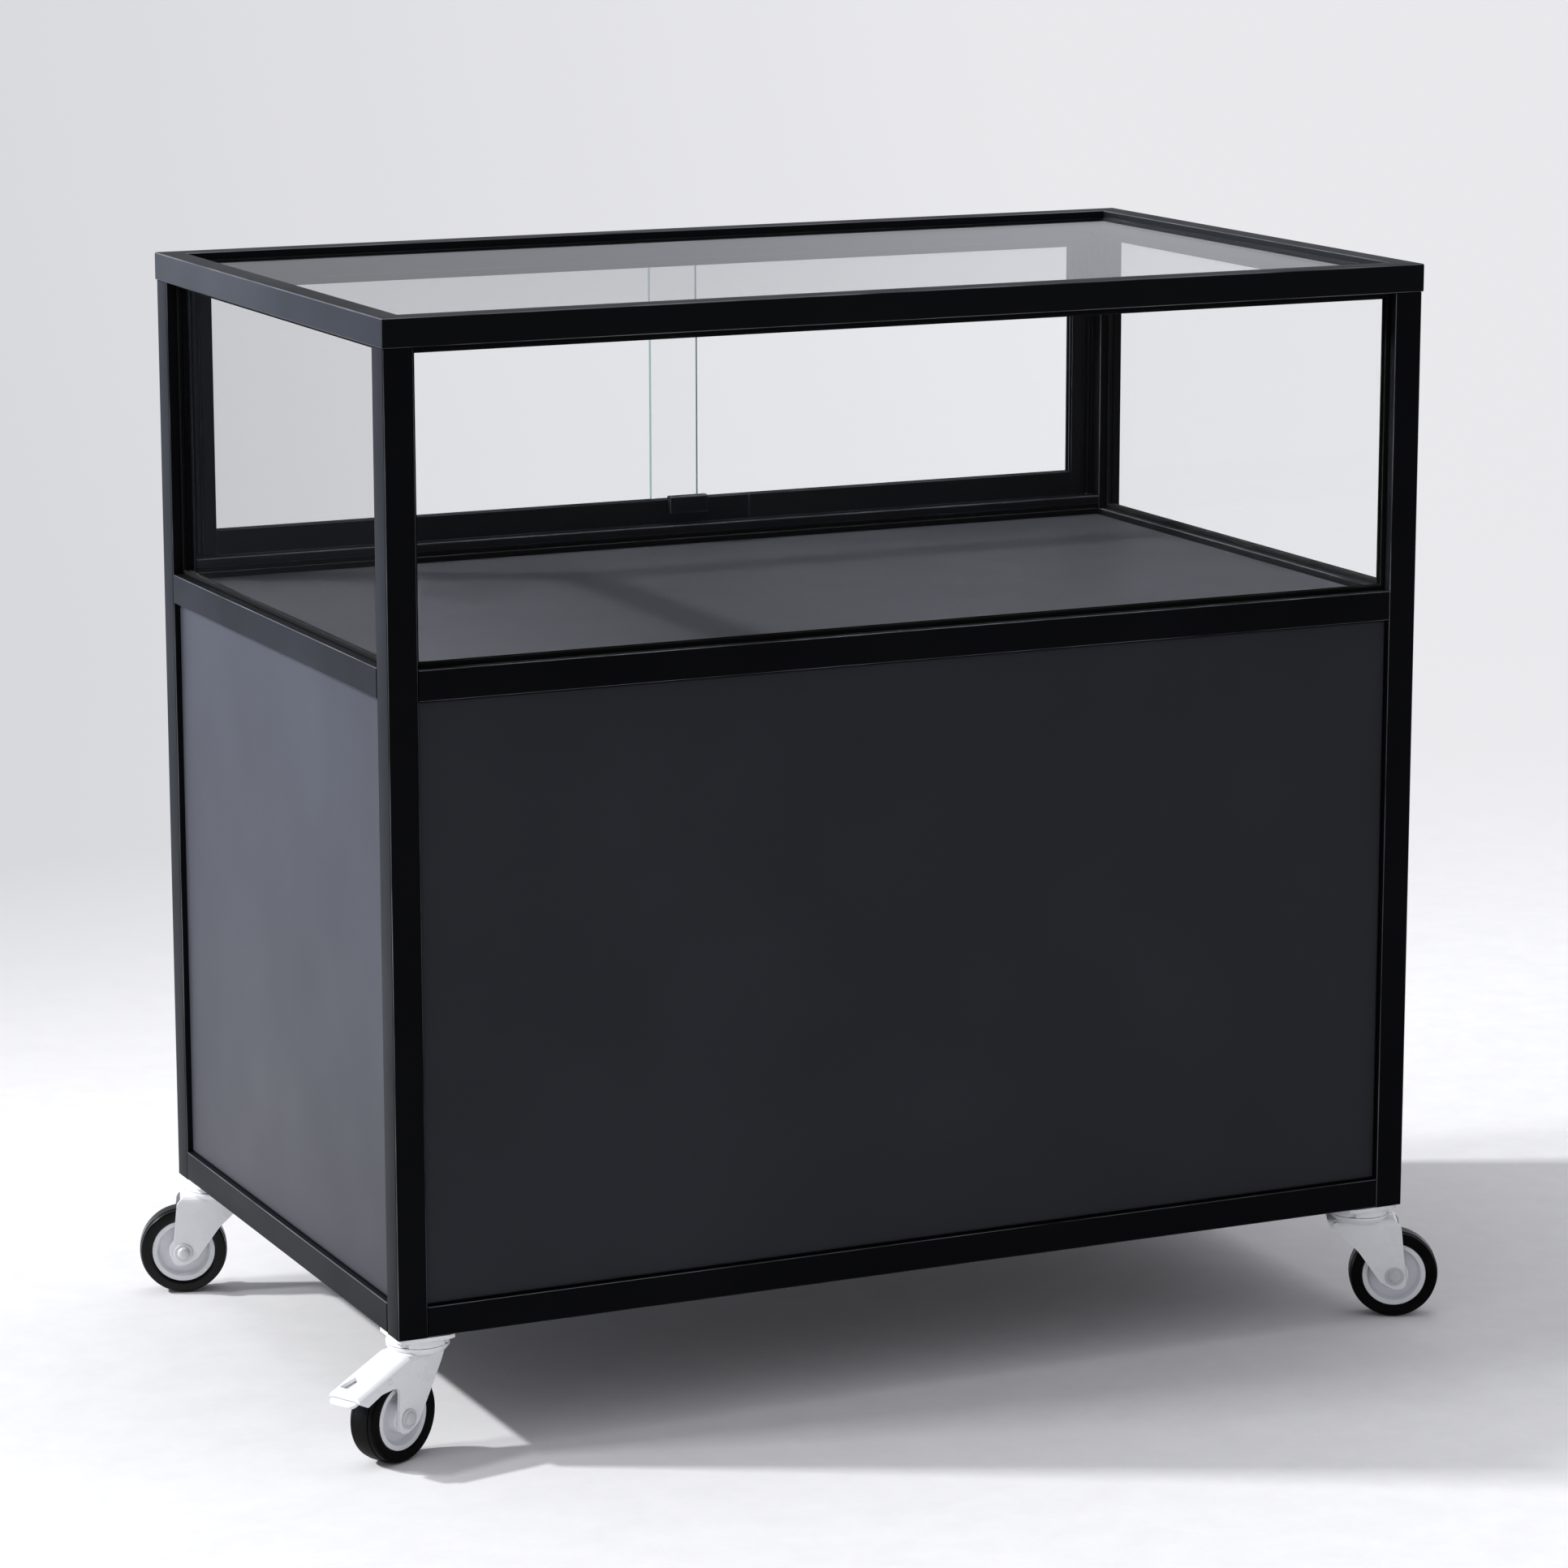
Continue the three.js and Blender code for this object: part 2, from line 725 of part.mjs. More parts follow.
// Cupboard doors, each with a shallow finger pull let into its outer face near the jamb side
const cupboardDoorEnd = innerHalfWidth - fit;
const cupboardDoorFoot = cupboardFloor + cupboardTrackWall + fit;
const cupboardDoorHead = headLips + cupboardDoorBite;
for (const [name, side, channel] of [['left', -1, 0], ['right', 1, 1]]) {
  const width = cupboardDoorEnd + cupboardDoorOverlap / 2;
  const height = cupboardDoorHead - cupboardDoorFoot;
  const centre = side * (cupboardDoorEnd - width / 2);
  const board = box(width, cupboardDoorThickness, height, centre, 0, cupboardDoorFoot);
  const pullOutline = rectangle(pullWidth, pullLength, pullWidth / 2);
  const pull = prismAlongY(pullOutline, 2 * pullDepth).translate(
    side * (cupboardDoorEnd - pullFromEdge),
    cupboardDoorThickness / 2,
    (cupboardDoorHead + cupboardDoorFoot) / 2,
  );
  const door = addPiece(`cupboard_door_${name}`, surface(cut(solid(board), pull)), charcoalPanel());
  door.position.y = rearFace - cupboardSlots[channel] - cupboardSlot / 2;
}

// Castor pieces, in a frame at the floor under the swivel axis, with the wheel trailing along +X
const rimRadius = wheelRadius - tyreDepth;
const rimSeatRadius = rimRadius - rimLip;
const forkSpan = forkWidth - 2 * forkSheet;
const forkFront = castorTrail - forkLobe;
const forkBack = castorTrail + forkReach;
const hoodStart = castorTrail - hoodFold;
const hoodEnd = castorTrail + hoodReach;
const archHeight = forkTop - archDrop;
const hoodEndHeight = forkTop - hoodDrop;
const pedalPinPlace = castorTrail + pedalPinReach;
const pedalPinRise = Math.sqrt((wheelRadius + pedalPinGap + pedalPinRadius) ** 2 - pedalPinReach ** 2);
const pedalPinHeight = axleHeight + pedalPinRise;

function castorTyre() {
  const seat = rimSeatRadius + fit;
  const outside = rimRadius + fit;
  const beadHalf = rimWidth / 2 - rimFlange - fit;
  const half = tyreWidth / 2;
  const arc = filletOutline([
    [seat, -beadHalf],
    [outside, -beadHalf],
    [outside, fit - half],
    [outside + tyreShoulder / 2, -half],
    [wheelRadius - tyreCrown, -half, tyreShoulder],
    [wheelRadius, 0],
    [wheelRadius - tyreCrown, half, tyreShoulder],
    [outside + tyreShoulder / 2, half],
    [outside, half - fit],
    [outside, beadHalf],
    [seat, beadHalf],
  ]);
  return turned(arc.map(({ x, y }) => [x, y]), true).rotateX(-Math.PI / 2);
}

function castorRim() {
  const half = rimWidth / 2;
  const seatHalf = half - rimFlange;
  const webHalf = webThickness / 2;
  const wallRadius = rimSeatRadius - rimWall;
  const outwards = [
    [axleRadius + fit, hubWidth / 2],
    [hubRadius, hubWidth / 2],
    [hubRadius + webDraft, webHalf],
    [wallRadius - webDraft, webHalf],
    [wallRadius, half - webDraft],
    [wallRadius + webDraft / 2, half],
    [rimRadius, half],
    [rimRadius, seatHalf],
    [rimSeatRadius, seatHalf],
  ];
  const underside = outwards.map(([r, h]) => [r, -h]);
  return turned([...underside, ...outwards.toReversed()], true).rotateX(-Math.PI / 2);
}

function castorAxle() {
  const washerInner = forkWidth / 2 + fit;
  const washerOuter = washerInner + washerThickness;
  const headEdge = washerOuter + axleHeadHeight / 2;
  const headTop = washerOuter + axleHeadHeight;
  const end = [
    [axleRadius, washerInner],
    [washerRadius, washerInner],
    [washerRadius, washerOuter],
    [axleHeadRadius, washerOuter],
    [axleHeadRadius, headEdge],
    [axleHeadRadius * Math.SQRT1_2, headTop],
    [0, headTop],
  ];
  const otherEnd = end.toReversed().map(([r, h]) => [r, -h]);
  return turned([...otherEnd, ...end], false, pinSteps).rotateX(-Math.PI / 2);
}

// Inverted channel with rounded bends, running along X from a start to an end, its top at a level
function pressedChannel(start, end, top, width, bend, depth) {
  const section = filletOutline([
    [-width / 2, top - depth],
    [width / 2, top - depth],
    [width / 2, top, bend],
    [-width / 2, top, bend],
  ]);
  return prismAlongX(section, end - start).translate((start + end) / 2, 0, 0);
}

const hoodSlope = Math.atan2(hoodEndHeight - forkTop, hoodEnd - hoodStart);
const hoodRun = Math.hypot(hoodEndHeight - forkTop, hoodEnd - hoodStart);
const alongHood = (geometry) => geometry.rotateY(-hoodSlope).translate(hoodStart, 0, forkTop);

// Outline of the fork seen from the side, from the front of the crown round the axle and back
function forkOutline(braked) {
  const leadingLeg = [
    [castorTrail - forkLegRadius - forkSheet / 2, axleHeight - forkLegRadius / 2, forkLegRadius],
    [castorTrail, axleHeight - forkLegRadius - forkSheet / 2, forkLegRadius],
    [castorTrail + forkLegRadius, axleHeight - forkLegRadius, forkLegRadius],
  ];
  if (braked) {
    return filletOutline([
      [castorTrail - forkCrown, forkTop],
      [castorTrail - forkCrown + forkSheet, forkTop - forkShoulder, forkShoulder],
      [castorTrail - forkCrown + forkShoulder, forkTop - 2 * forkShoulder, forkLegRadius],
      ...leadingLeg,
      [castorTrail + forkLegRadius - forkSheet / 2, archHeight, forkShoulder],
      [castorTrail + archReach + forkLegRadius, archHeight - forkSheet / 2, forkLegRadius],
      [hoodEnd - hoodSkirt, hoodEndHeight - hoodSkirt, forkSheet],
      [hoodEnd, hoodEndHeight - hoodSkirt / 2, forkSheet],
      [hoodEnd, hoodEndHeight],
      [hoodStart, forkTop, hoodSkirt],
    ]);
  }
  return filletOutline([
    [forkFront, forkTop],
    [forkFront + forkSheet, forkTop - forkLobeDepth, forkShoulder],
    [forkFront + forkLobeDepth, forkTop - forkLobeDepth - forkSheet / 2, forkShoulder],
    [castorTrail - forkWaist, forkTop - forkWaistDepth, forkWaistRadius],
    ...leadingLeg,
    [forkBack, forkTop - forkShoulder, forkShoulder],
    [forkBack - forkShoulder, forkTop],
  ]);
}

// Bent channel whose roof is level over the crown and, with a hood, slopes down beyond it
function forkChannel(braked, width, bend, drop) {
  const start = forkFront - overrun;
  const level = solid(pressedChannel(start, hoodEnd + overrun, forkTop - drop, width, bend, forkTop));
  if (!braked) {
    return level;
  }
  const sloped = pressedChannel(start - hoodStart, hoodRun + overrun, -drop, width, bend, forkTop);
  return level.intersect(solid(alongHood(sloped)));
}

function castorFork(braked) {
  const outline = prismAlongY(forkOutline(braked), forkWidth + overrun);
  const race = turned([
    [0, forkTop - forkSheet / 2],
    [raceNeck, forkTop - forkSheet / 2],
    [raceRadius, forkTop + raceBand / 2],
    [raceRadius, forkTop + raceBand],
    [0, forkTop + raceBand],
  ]);
  const kingpinBore = turned([
    [0, forkTop - 2 * forkSheet],
    [kingpinRadius + fit, forkTop - 2 * forkSheet],
    [kingpinRadius + fit, forkTop + raceBand + overrun],
    [0, forkTop + raceBand + overrun],
  ]);
  const axleBore = castorBar(castorTrail, axleHeight, axleRadius + fit, forkWidth + overrun);
  const envelope = forkChannel(braked, forkWidth, forkBend, 0);
  const hollow = forkChannel(braked, forkSpan, forkBend - forkSheet, forkSheet);
  const pressed = envelope.intersect(solid(outline)).subtract(hollow);
  if (braked) {
    const pinBore = castorBar(pedalPinPlace, pedalPinHeight, pedalPinRadius + fit, forkWidth + overrun);
    return surface(cut(pressed.add(solid(race)), kingpinBore, axleBore, hoodWindow(), pinBore));
  }
  const rivet = castorBar(castorTrail - rivetReach, forkTop - rivetDrop, rivetRadius, forkWidth + 2 * rivetHead);
  return surface(cut(pressed.add(solid(race)).add(solid(rivet)), kingpinBore, axleBore));
}

// Round bar across the castor at a place along the trail and a height
function castorBar(place, height, radius, length) {
  return new THREE.CylinderGeometry(radius, radius, length, pinSteps).translate(place, 0, height);
}

// Window in the hood, wider towards the tip
function hoodWindow() {
  const start = castorTrail + windowReach;
  const outline = filletOutline([
    [start, windowCentre - windowNarrow / 2, windowCorner],
    [start + windowLength, windowCentre - windowWide / 2, windowCorner],
    [start + windowLength, windowCentre + windowWide / 2, windowCorner],
    [start, windowCentre + windowNarrow / 2, windowCorner],
  ]);
  return prism(outline, forkTop - archHeight).translate(0, 0, archHeight);
}

// Top plate: slots at its corners, the upper ball race below it and the kingpin with its head
function castorPlate() {
  const slots = [[-1, -1], [1, -1], [1, 1], [-1, 1]].map(([sx, sy]) =>
    rectangle(plateSlotLength, plateSlotWidth, plateSlotWidth / 2, sx * plateSlotPlace, sy * plateSlotPlace),
  );
  const plate = prism(rectangle(plateSide, plateSide, plateCorner), plateThickness, slots);
  plate.translate(0, 0, plateBottom);
  const headTop = forkTop - forkSheet - fit;
  const race = turned([
    [0, headTop - kingpinHeadHeight],
    [kingpinHeadRadius, headTop - kingpinHeadHeight / 2],
    [kingpinHeadRadius, headTop],
    [kingpinRadius, headTop],
    [kingpinRadius, upperRaceBottom],
    [raceRadius, upperRaceBottom],
    [raceRadius, upperRaceBottom + raceBand / 2],
    [raceNeck, plateBottom + plateThickness / 2],
    [0, plateBottom + plateThickness / 2],
  ]);
  const swivelBolts = cut(solid(race), ...slots.map((slot) => prism(slot, castorHeight)));
  return surface(solid(plate).add(swivelBolts));
}

// Brake pedal: a plate that follows the hood from inside, with its shoe over the tyre and its pin
function castorPedal() {
  const top = -forkSheet - pedalClearance;
  const [alongShoe, alongTip] = [shoeReach, pedalReach].map((reach) => (reach + hoodFold) / Math.cos(hoodSlope));
  const pinAhead = pedalPinPlace - hoodStart;
  const pinBelow = forkTop - pedalPinHeight;
  const start = pinAhead * Math.cos(hoodSlope) - pinBelow * Math.sin(hoodSlope) - pedalPinRadius;
  const side = filletOutline([
    [start, top],
    [start, top - pedalSheet],
    [alongShoe - shoeLength / 2, top - pedalSheet],
    [alongShoe - shoeLength / 2, top - pedalSheet - shoeHeight],
    [alongShoe + shoeLength / 2, top - pedalSheet - shoeHeight],
    [alongShoe + shoeLength / 2, top - pedalSheet],
    [alongTip, top - pedalSheet, pedalSheet / 3],
    [alongTip, top, pedalSheet / 3],
  ]);
  const plan = filletOutline([
    [start, -pedalWidth / 2],
    [alongTip, -pedalWidth / 2, pedalTipCorner],
    [alongTip, pedalWidth / 2, pedalTipCorner],
    [start, pedalWidth / 2],
  ]);
  const thickness = pedalClearance + forkSheet + pedalSheet + shoeHeight;
  const planBlock = prism(plan, 2 * thickness).translate(0, 0, -2 * thickness);
  const plate = solid(alongHood(prismAlongY(side, pedalWidth))).intersect(solid(alongHood(planBlock)));
  const pin = castorBar(pedalPinPlace, pedalPinHeight, pedalPinRadius, forkWidth);
  return surface(plate.add(solid(pin)));
}

for (const { name, side, end, trails, braked } of castors) {
  const place = new THREE.Group();
  place.position.set(side * (halfWidth - castorInset), end * (halfDepth - castorInset), 0);
  counter.add(place);
  addPiece(`castor_${name}_plate`, castorPlate(), whitePaintedSteel(), place);
  const swivel = new THREE.Group();
  swivel.rotation.z = THREE.MathUtils.degToRad(trails);
  place.add(swivel);
  addPiece(`castor_${name}_fork`, castorFork(braked), whitePaintedSteel(), swivel);
  const hub = new THREE.Group();
  hub.position.set(castorTrail, 0, axleHeight);
  swivel.add(hub);
  addPiece(`castor_${name}_axle`, castorAxle(), zincPlate(), hub);
  addPiece(`castor_${name}_rim`, castorRim(), paleGreyPlastic(), hub);
  addPiece(`castor_${name}_tyre`, castorTyre(), blackRubber(), hub);
  if (braked) {
    addPiece(`castor_${name}_pedal`, castorPedal(), whitePaintedSteel(), swivel);
  }
}

export default counter;
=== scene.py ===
# %% [markdown]
# # A glass display counter
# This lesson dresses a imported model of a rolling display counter: a square-tube frame, a glazed
# showcase over a closed cupboard, sliding doors at the back and four castors. Every length is in
# metres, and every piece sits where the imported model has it.

import json
import math
from functools import partial

import bmesh
import bpy
import numpy as np
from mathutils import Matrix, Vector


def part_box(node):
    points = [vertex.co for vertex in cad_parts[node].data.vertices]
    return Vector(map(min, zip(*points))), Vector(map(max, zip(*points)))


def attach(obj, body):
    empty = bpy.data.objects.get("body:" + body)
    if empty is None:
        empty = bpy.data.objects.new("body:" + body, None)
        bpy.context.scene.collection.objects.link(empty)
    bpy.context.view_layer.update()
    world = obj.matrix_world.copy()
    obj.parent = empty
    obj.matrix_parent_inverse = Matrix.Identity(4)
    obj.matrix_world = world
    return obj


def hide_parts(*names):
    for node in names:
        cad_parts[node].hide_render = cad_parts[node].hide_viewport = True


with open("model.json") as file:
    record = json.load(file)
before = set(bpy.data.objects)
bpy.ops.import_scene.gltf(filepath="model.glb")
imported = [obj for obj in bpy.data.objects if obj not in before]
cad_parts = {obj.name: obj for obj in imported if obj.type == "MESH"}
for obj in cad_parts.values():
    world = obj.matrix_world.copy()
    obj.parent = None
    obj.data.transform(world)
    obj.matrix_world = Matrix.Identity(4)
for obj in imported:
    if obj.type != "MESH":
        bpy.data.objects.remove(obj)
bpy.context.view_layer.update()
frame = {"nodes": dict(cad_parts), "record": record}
mm = 0.001

# %% [markdown]
# ## The camera
# A long lens from the left of the customer's side, a little above the top glass. Its place, lens
# and tilt come from fitting a pinhole camera to the straight edges of the frame.

# %% Camera
lens_data = bpy.data.cameras.new("view")
lens_data.sensor_width = 36
lens_data.lens = 122.11
lens_data.clip_end = 60
camera = bpy.data.objects.new("view", lens_data)
camera.location = (-1.8563, -3.9972, 1.3593)
camera.rotation_euler = [math.radians(a) for a in (78.3996, 0.0540, -24.9341)]
bpy.context.scene.collection.objects.link(camera)
bpy.context.scene.camera = camera
bpy.context.scene.view_settings.view_transform = "Standard"
print("lens", lens_data.lens, "mm")

# %% [markdown]
# ## Meshes from grids
# Almost every piece here is a rectangle carried along a path: a tube, a pane, a folded panel, a
# mitred frame. One function draws the rectangle again and again, each time drawn in by an inset and
# moved to a depth, and the grid of points is skinned with quads.

# %% Grid helpers
least_radius = 0.03 * mm
longest_reach = 0.45  # of the shorter edge at a corner


def grid_faces(rows, columns, rows_closed):
    """Quads between neighbouring rows and columns; columns close on themselves, rows only if asked."""
    i = np.arange(rows if rows_closed else rows - 1)[:, None]
    j = np.arange(columns)[None, :]
    ahead, above = (j + 1) % columns, (i + 1) % rows
    quads = [i * columns + j, i * columns + ahead, above * columns + ahead, above * columns + j]
    return np.stack(np.broadcast_arrays(*quads), -1).reshape(-1, 4).tolist()


def rectangle_rows(half, radius, insets, depths, steps=3):
    """Row k is a rectangle drawn in by insets[k] at depths[k]; a corner point is the centre of the
    corner's arc plus what is left of its radius times (cos t, sin t)."""
    insets, depths = np.asarray(insets, float), np.asarray(depths, float)
    t = (np.arange(4)[:, None] * np.pi / 2 + np.linspace(0, np.pi / 2, steps + 1)).ravel()
    corner = np.repeat([[1, 1], [-1, 1], [-1, -1], [1, -1]], steps + 1, axis=0)
    left = np.maximum(radius - insets, least_radius)[:, None, None]
    centre = corner * (np.asarray(half) - insets[:, None, None] - left)
    flat = centre + left * np.stack([np.cos(t), np.sin(t)], -1)
    return np.concatenate([flat, np.broadcast_to(depths[:, None, None], flat[..., :1].shape)], -1)


def spun_rows(profile, steps=96):
    """Row k is a circle: (r cos t, r sin t, h) for the profile's radius r and height h."""
    r, h = np.asarray(profile, float).T[:, :, None]
    t = np.linspace(0, 2 * np.pi, steps, endpoint=False)
    return np.stack(np.broadcast_arrays(r * np.cos(t), r * np.sin(t), h), -1)


def soft_corners(points, reach, steps=3):
    """Each corner P becomes (1-t)^2 A + 2t(1-t) P + t^2 B, from A, reach before it, to B, after it."""
    p = np.asarray(points, float)
    back, ahead = np.roll(p, 1, 0) - p, np.roll(p, -1, 0) - p
    back_length = np.linalg.norm(back, axis=1)
    ahead_length = np.linalg.norm(ahead, axis=1)
    shorter = np.minimum(back_length, ahead_length)
    r = np.minimum(np.broadcast_to(reach, len(p)), longest_reach * shorter)
    a = (p + back * (r / back_length)[:, None])[:, None]
    b = (p + ahead * (r / ahead_length)[:, None])[:, None]
    t = np.linspace(0, 1, steps + 1)[None, :, None]
    return ((1 - t) ** 2 * a + 2 * t * (1 - t) * p[:, None] + t**2 * b).reshape(-1, 2)


def turn_to(points, axis):
    """Turns (u, v, w) so that w runs along x, y or z; the order is cyclic, so nothing is mirrored."""
    return points[..., {"x": [2, 0, 1], "y": [1, 2, 0], "z": [0, 1, 2]}[axis]]


def spot(point, angle_deg, points):
    """Turns points about z by an angle and moves them to a point."""
    a = math.radians(angle_deg)
    turn = np.array([[math.cos(a), math.sin(a), 0], [-math.sin(a), math.cos(a), 0], [0, 0, 1]])
    return points @ turn + np.asarray(point)


print("grid helpers", [f.__name__ for f in (grid_faces, rectangle_rows, spun_rows, soft_corners)])

# %% [markdown]
# ## From a mesh to a piece
# A piece takes the place of a imported node and rides on its body.
# Where an edge is rounded, the rounding may carry a second, paler finish: a painted highlight along the
# arris.

# %% Putting a mesh on a body
weld_distance = 2e-6
flat_angle = 0.01  # radians between faces that count as one
usual_sharp_deg = 35


def body_of_node(node):
    """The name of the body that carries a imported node."""
    bodies = frame["record"]["behaviour"]["bodies"]
    return next(body for body, nodes in bodies.items() if node in nodes)


def slot_of_node(node):
    """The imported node's material slot."""
    parts = frame["record"]["subparts"]
    return next(part["material_slot"] for part in parts if part["node"] == node)


def finish_piece(mesh, name, material, body, replaced, sharp_deg):
    """Shades a mesh smooth up to an angle, gives it its finishes and puts it on its body."""
    mesh.shade_smooth()
    mesh.set_sharp_from_angle(angle=math.radians(sharp_deg))
    mesh.materials.clear()
    for one in material if isinstance(material, list) else [material]:
        mesh.materials.append(one)
    piece = bpy.data.objects.new(name, mesh)
    bpy.context.scene.collection.objects.link(piece)
    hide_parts(*replaced)
    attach(piece, body)
    return piece


def paint_arris_highlights(piece, material, faces):
    """Gives the numbered faces, the middle strips of rounded edges, a paler finish that is a painted
    highlight.
    """
    piece.data.materials.append(material)
    slots = np.zeros(len(piece.data.polygons), int)
    slots[np.asarray(faces).ravel()] = len(piece.data.materials) - 1
    piece.data.polygons.foreach_set("material_index", slots)


def corner_strips(columns, row):
    """The middle strip of each rounded corner, in one row of a rectangle's grid."""
    per_corner = columns // 4
    return row * columns + np.arange(per_corner // 2 - 1, columns, per_corner)


def skin(name, parts, material, body, replaced, sharp_deg=usual_sharp_deg):
    """One mesh from grids, each (points, rows_closed); open grids get a face at each end."""
    points, faces, start = [], [], 0
    for grid, rows_closed in parts:
        rows, columns = grid.shape[:2]
        quads = grid_faces(rows, columns, rows_closed)
        if not rows_closed:
            quads.append(list(range(columns))[::-1])
            quads.append(list(range((rows - 1) * columns, rows * columns)))
        faces += [[start + k for k in face] for face in quads]
        points.append(grid.reshape(-1, 3))
        start += rows * columns
    mesh = bpy.data.meshes.new(name)
    mesh.from_pydata(np.concatenate(points).tolist(), [], faces)
    return finish_piece(mesh, name, material, body, replaced, sharp_deg)


def bevelled(node, material, width, segments=2, angle_deg=28, arris_highlight_finish=None):
    """A merged copy of a CAD node whose flat faces are whole again and whose edges are rounded."""
    shape = bmesh.new()
    shape.from_mesh(frame["nodes"][node].data)
    bmesh.ops.remove_doubles(shape, verts=shape.verts, dist=weld_distance)
    bmesh.ops.dissolve_limit(shape, angle_limit=flat_angle, verts=shape.verts, edges=shape.edges)
    name = f"{node}_finished"
    mesh = bpy.data.meshes.new(name)
    shape.to_mesh(mesh)
    shape.free()
    # A second finish, if given, paints a highlight on the rounded edges.
    finishes = [material, arris_highlight_finish] if arris_highlight_finish else material
    piece = finish_piece(mesh, name, finishes, body_of_node(node), [node], usual_sharp_deg)
    edge = piece.modifiers.new("rounded edges", "BEVEL")
    edge.material = 1 if arris_highlight_finish else -1
    edge.width = width
    edge.segments = segments
    edge.limit_method = "ANGLE"
    edge.angle_limit = math.radians(angle_deg)
    edge.harden_normals = True
    edge.use_clamp_overlap = True


print("top_glass rides on", body_of_node("top_glass"), "and keeps the slot", slot_of_node("top_glass"))

# %% [markdown]
# ## Effects shared by the finishes
# Powder coat, laminate, moulded plastic and rubber all have a fine skin that breaks up a highlight.
# A node group holds that skin once: a fine noise goes out as a height, a coarse one as a mask.

# %% Shared node groups
def node_group(name, inputs, outputs):
    """An empty shader group with number sockets, and its input and output nodes."""
    group = bpy.data.node_groups.new(name, "ShaderNodeTree")
    for socket, value in inputs.items():
        item = group.interface.new_socket(socket, in_out="INPUT", socket_type="NodeSocketFloat")
        item.default_value = value
    for socket in outputs:
        group.interface.new_socket(socket, in_out="OUTPUT", socket_type="NodeSocketFloat")
    return group, group.nodes.new("NodeGroupInput"), group.nodes.new("NodeGroupOutput")


def noise_node(tree, place, scale, detail, roughness):
    """Noise at a place; its scale is a number or a link."""
    noise = tree.nodes.new("ShaderNodeTexNoise")
    noise.inputs["Detail"].default_value = detail
    noise.inputs["Roughness"].default_value = roughness
    tree.links.new(place, noise.inputs["Vector"])
    if isinstance(scale, (int, float)):
        noise.inputs["Scale"].default_value = scale
    else:
        tree.links.new(scale, noise.inputs["Scale"])
    return noise.outputs["Fac"]


def ramp_node(tree, value, low, high, to_low=0.0, to_high=1.0):
    """Goes from to_low, where the value is low, straight to to_high, where it is high."""
    ramp = tree.nodes.new("ShaderNodeMapRange")
    ends = {"From Min": low, "From Max": high, "To Min": to_low, "To Max": to_high}
    for socket, number in ends.items():
        ramp.inputs[socket].default_value = number
    tree.links.new(value, ramp.inputs["Value"])
    return ramp.outputs["Result"]


def math_node(tree, operation, *values):
    """One sum; each value is a number or a link."""
    node = tree.nodes.new("ShaderNodeMath")
    node.operation = operation
    for socket, value in zip(node.inputs, values):
        if isinstance(value, (int, float)):
            socket.default_value = value
        else:
            tree.links.new(value, socket)
    return node.outputs[0]


def mix_node(tree, factor, a, b):
    """A colour from a to b; each is an (r, g, b) or a link."""
    mix = tree.nodes.new("ShaderNodeMix")
    mix.data_type = "RGBA"
    tree.links.new(factor, mix.inputs["Factor"])
    for socket, colour in (("A", a), ("B", b)):
        if isinstance(colour, tuple):
            mix.inputs[socket].default_value = (*colour, 1)
        else:
            tree.links.new(colour, mix.inputs[socket])
    return mix.outputs["Result"]


def blank_material(name):
    """A new material, its node tree and its Principled shader."""
    material = bpy.data.materials.new(name)
    material.use_nodes = True
    return material, material.node_tree, material.node_tree.nodes["Principled BSDF"]


def show_either(tree, factor, usual, other):
    """The surface is the usual shader where the factor is 0, and the other one where it is 1."""
    either = tree.nodes.new("ShaderNodeMixShader")
    tree.links.new(factor, either.inputs["Fac"])
    tree.links.new(usual.outputs["BSDF"], either.inputs[1])
    tree.links.new(other.outputs["BSDF"], either.inputs[2])
    tree.links.new(either.outputs["Shader"], tree.nodes["Material Output"].inputs["Surface"])


fine_skin, skin_in, skin_out = node_group(
    "fine skin", {"Grain Scale": 1400.0, "Cloud Scale": 7.0}, ("Height", "Cloud")
)
place = fine_skin.nodes.new("ShaderNodeTexCoord").outputs["Object"]
grain = noise_node(fine_skin, place, skin_in.outputs["Grain Scale"], 3.0, 0.6)
cloud = noise_node(fine_skin, place, skin_in.outputs["Cloud Scale"], 3.0, 0.55)
fine_skin.links.new(grain, skin_out.inputs["Height"])
fine_skin.links.new(ramp_node(fine_skin, cloud, 0.3, 0.7), skin_out.inputs["Cloud"])
print("shared groups", [g.name for g in bpy.data.node_groups])

# %% [markdown]
# ## Painted, moulded and laminated finishes
# Each finish has a colour and a roughness that drift by the cloud, and a relief by the grain, whose
# height is in metres. The frame's coat is nearly black, so what shows of it is mostly its sheen; on an
# arris the coat is painted paler and smoother, a painted highlight that draws the thin light lines along
# the frame.

# %% Finishes
def coated(name, dark, light, roughness, bump, grain_scale, cloud_scale=7.0, **sockets):
    """Colour and roughness by cloud, relief by grain; what else is given sets a socket of that name."""
    material, tree, shader = blank_material(name)
    texture = tree.nodes.new("ShaderNodeGroup")
    texture.node_tree = fine_skin
    texture.inputs["Grain Scale"].default_value = grain_scale
    texture.inputs["Cloud Scale"].default_value = cloud_scale
    drift = texture.outputs["Cloud"]
    tree.links.new(mix_node(tree, drift, dark, light), shader.inputs["Base Color"])
    tree.links.new(ramp_node(tree, drift, 0.0, 1.0, *roughness), shader.inputs["Roughness"])
    relief = tree.nodes.new("ShaderNodeBump")
    relief.inputs["Strength"].default_value = 1.0
    relief.inputs["Distance"].default_value = bump
    tree.links.new(texture.outputs["Height"], relief.inputs["Height"])
    tree.links.new(relief.outputs["Normal"], shader.inputs["Normal"])
    for socket, value in sockets.items():
        shader.inputs[socket.replace("_", " ")].default_value = value
    return material


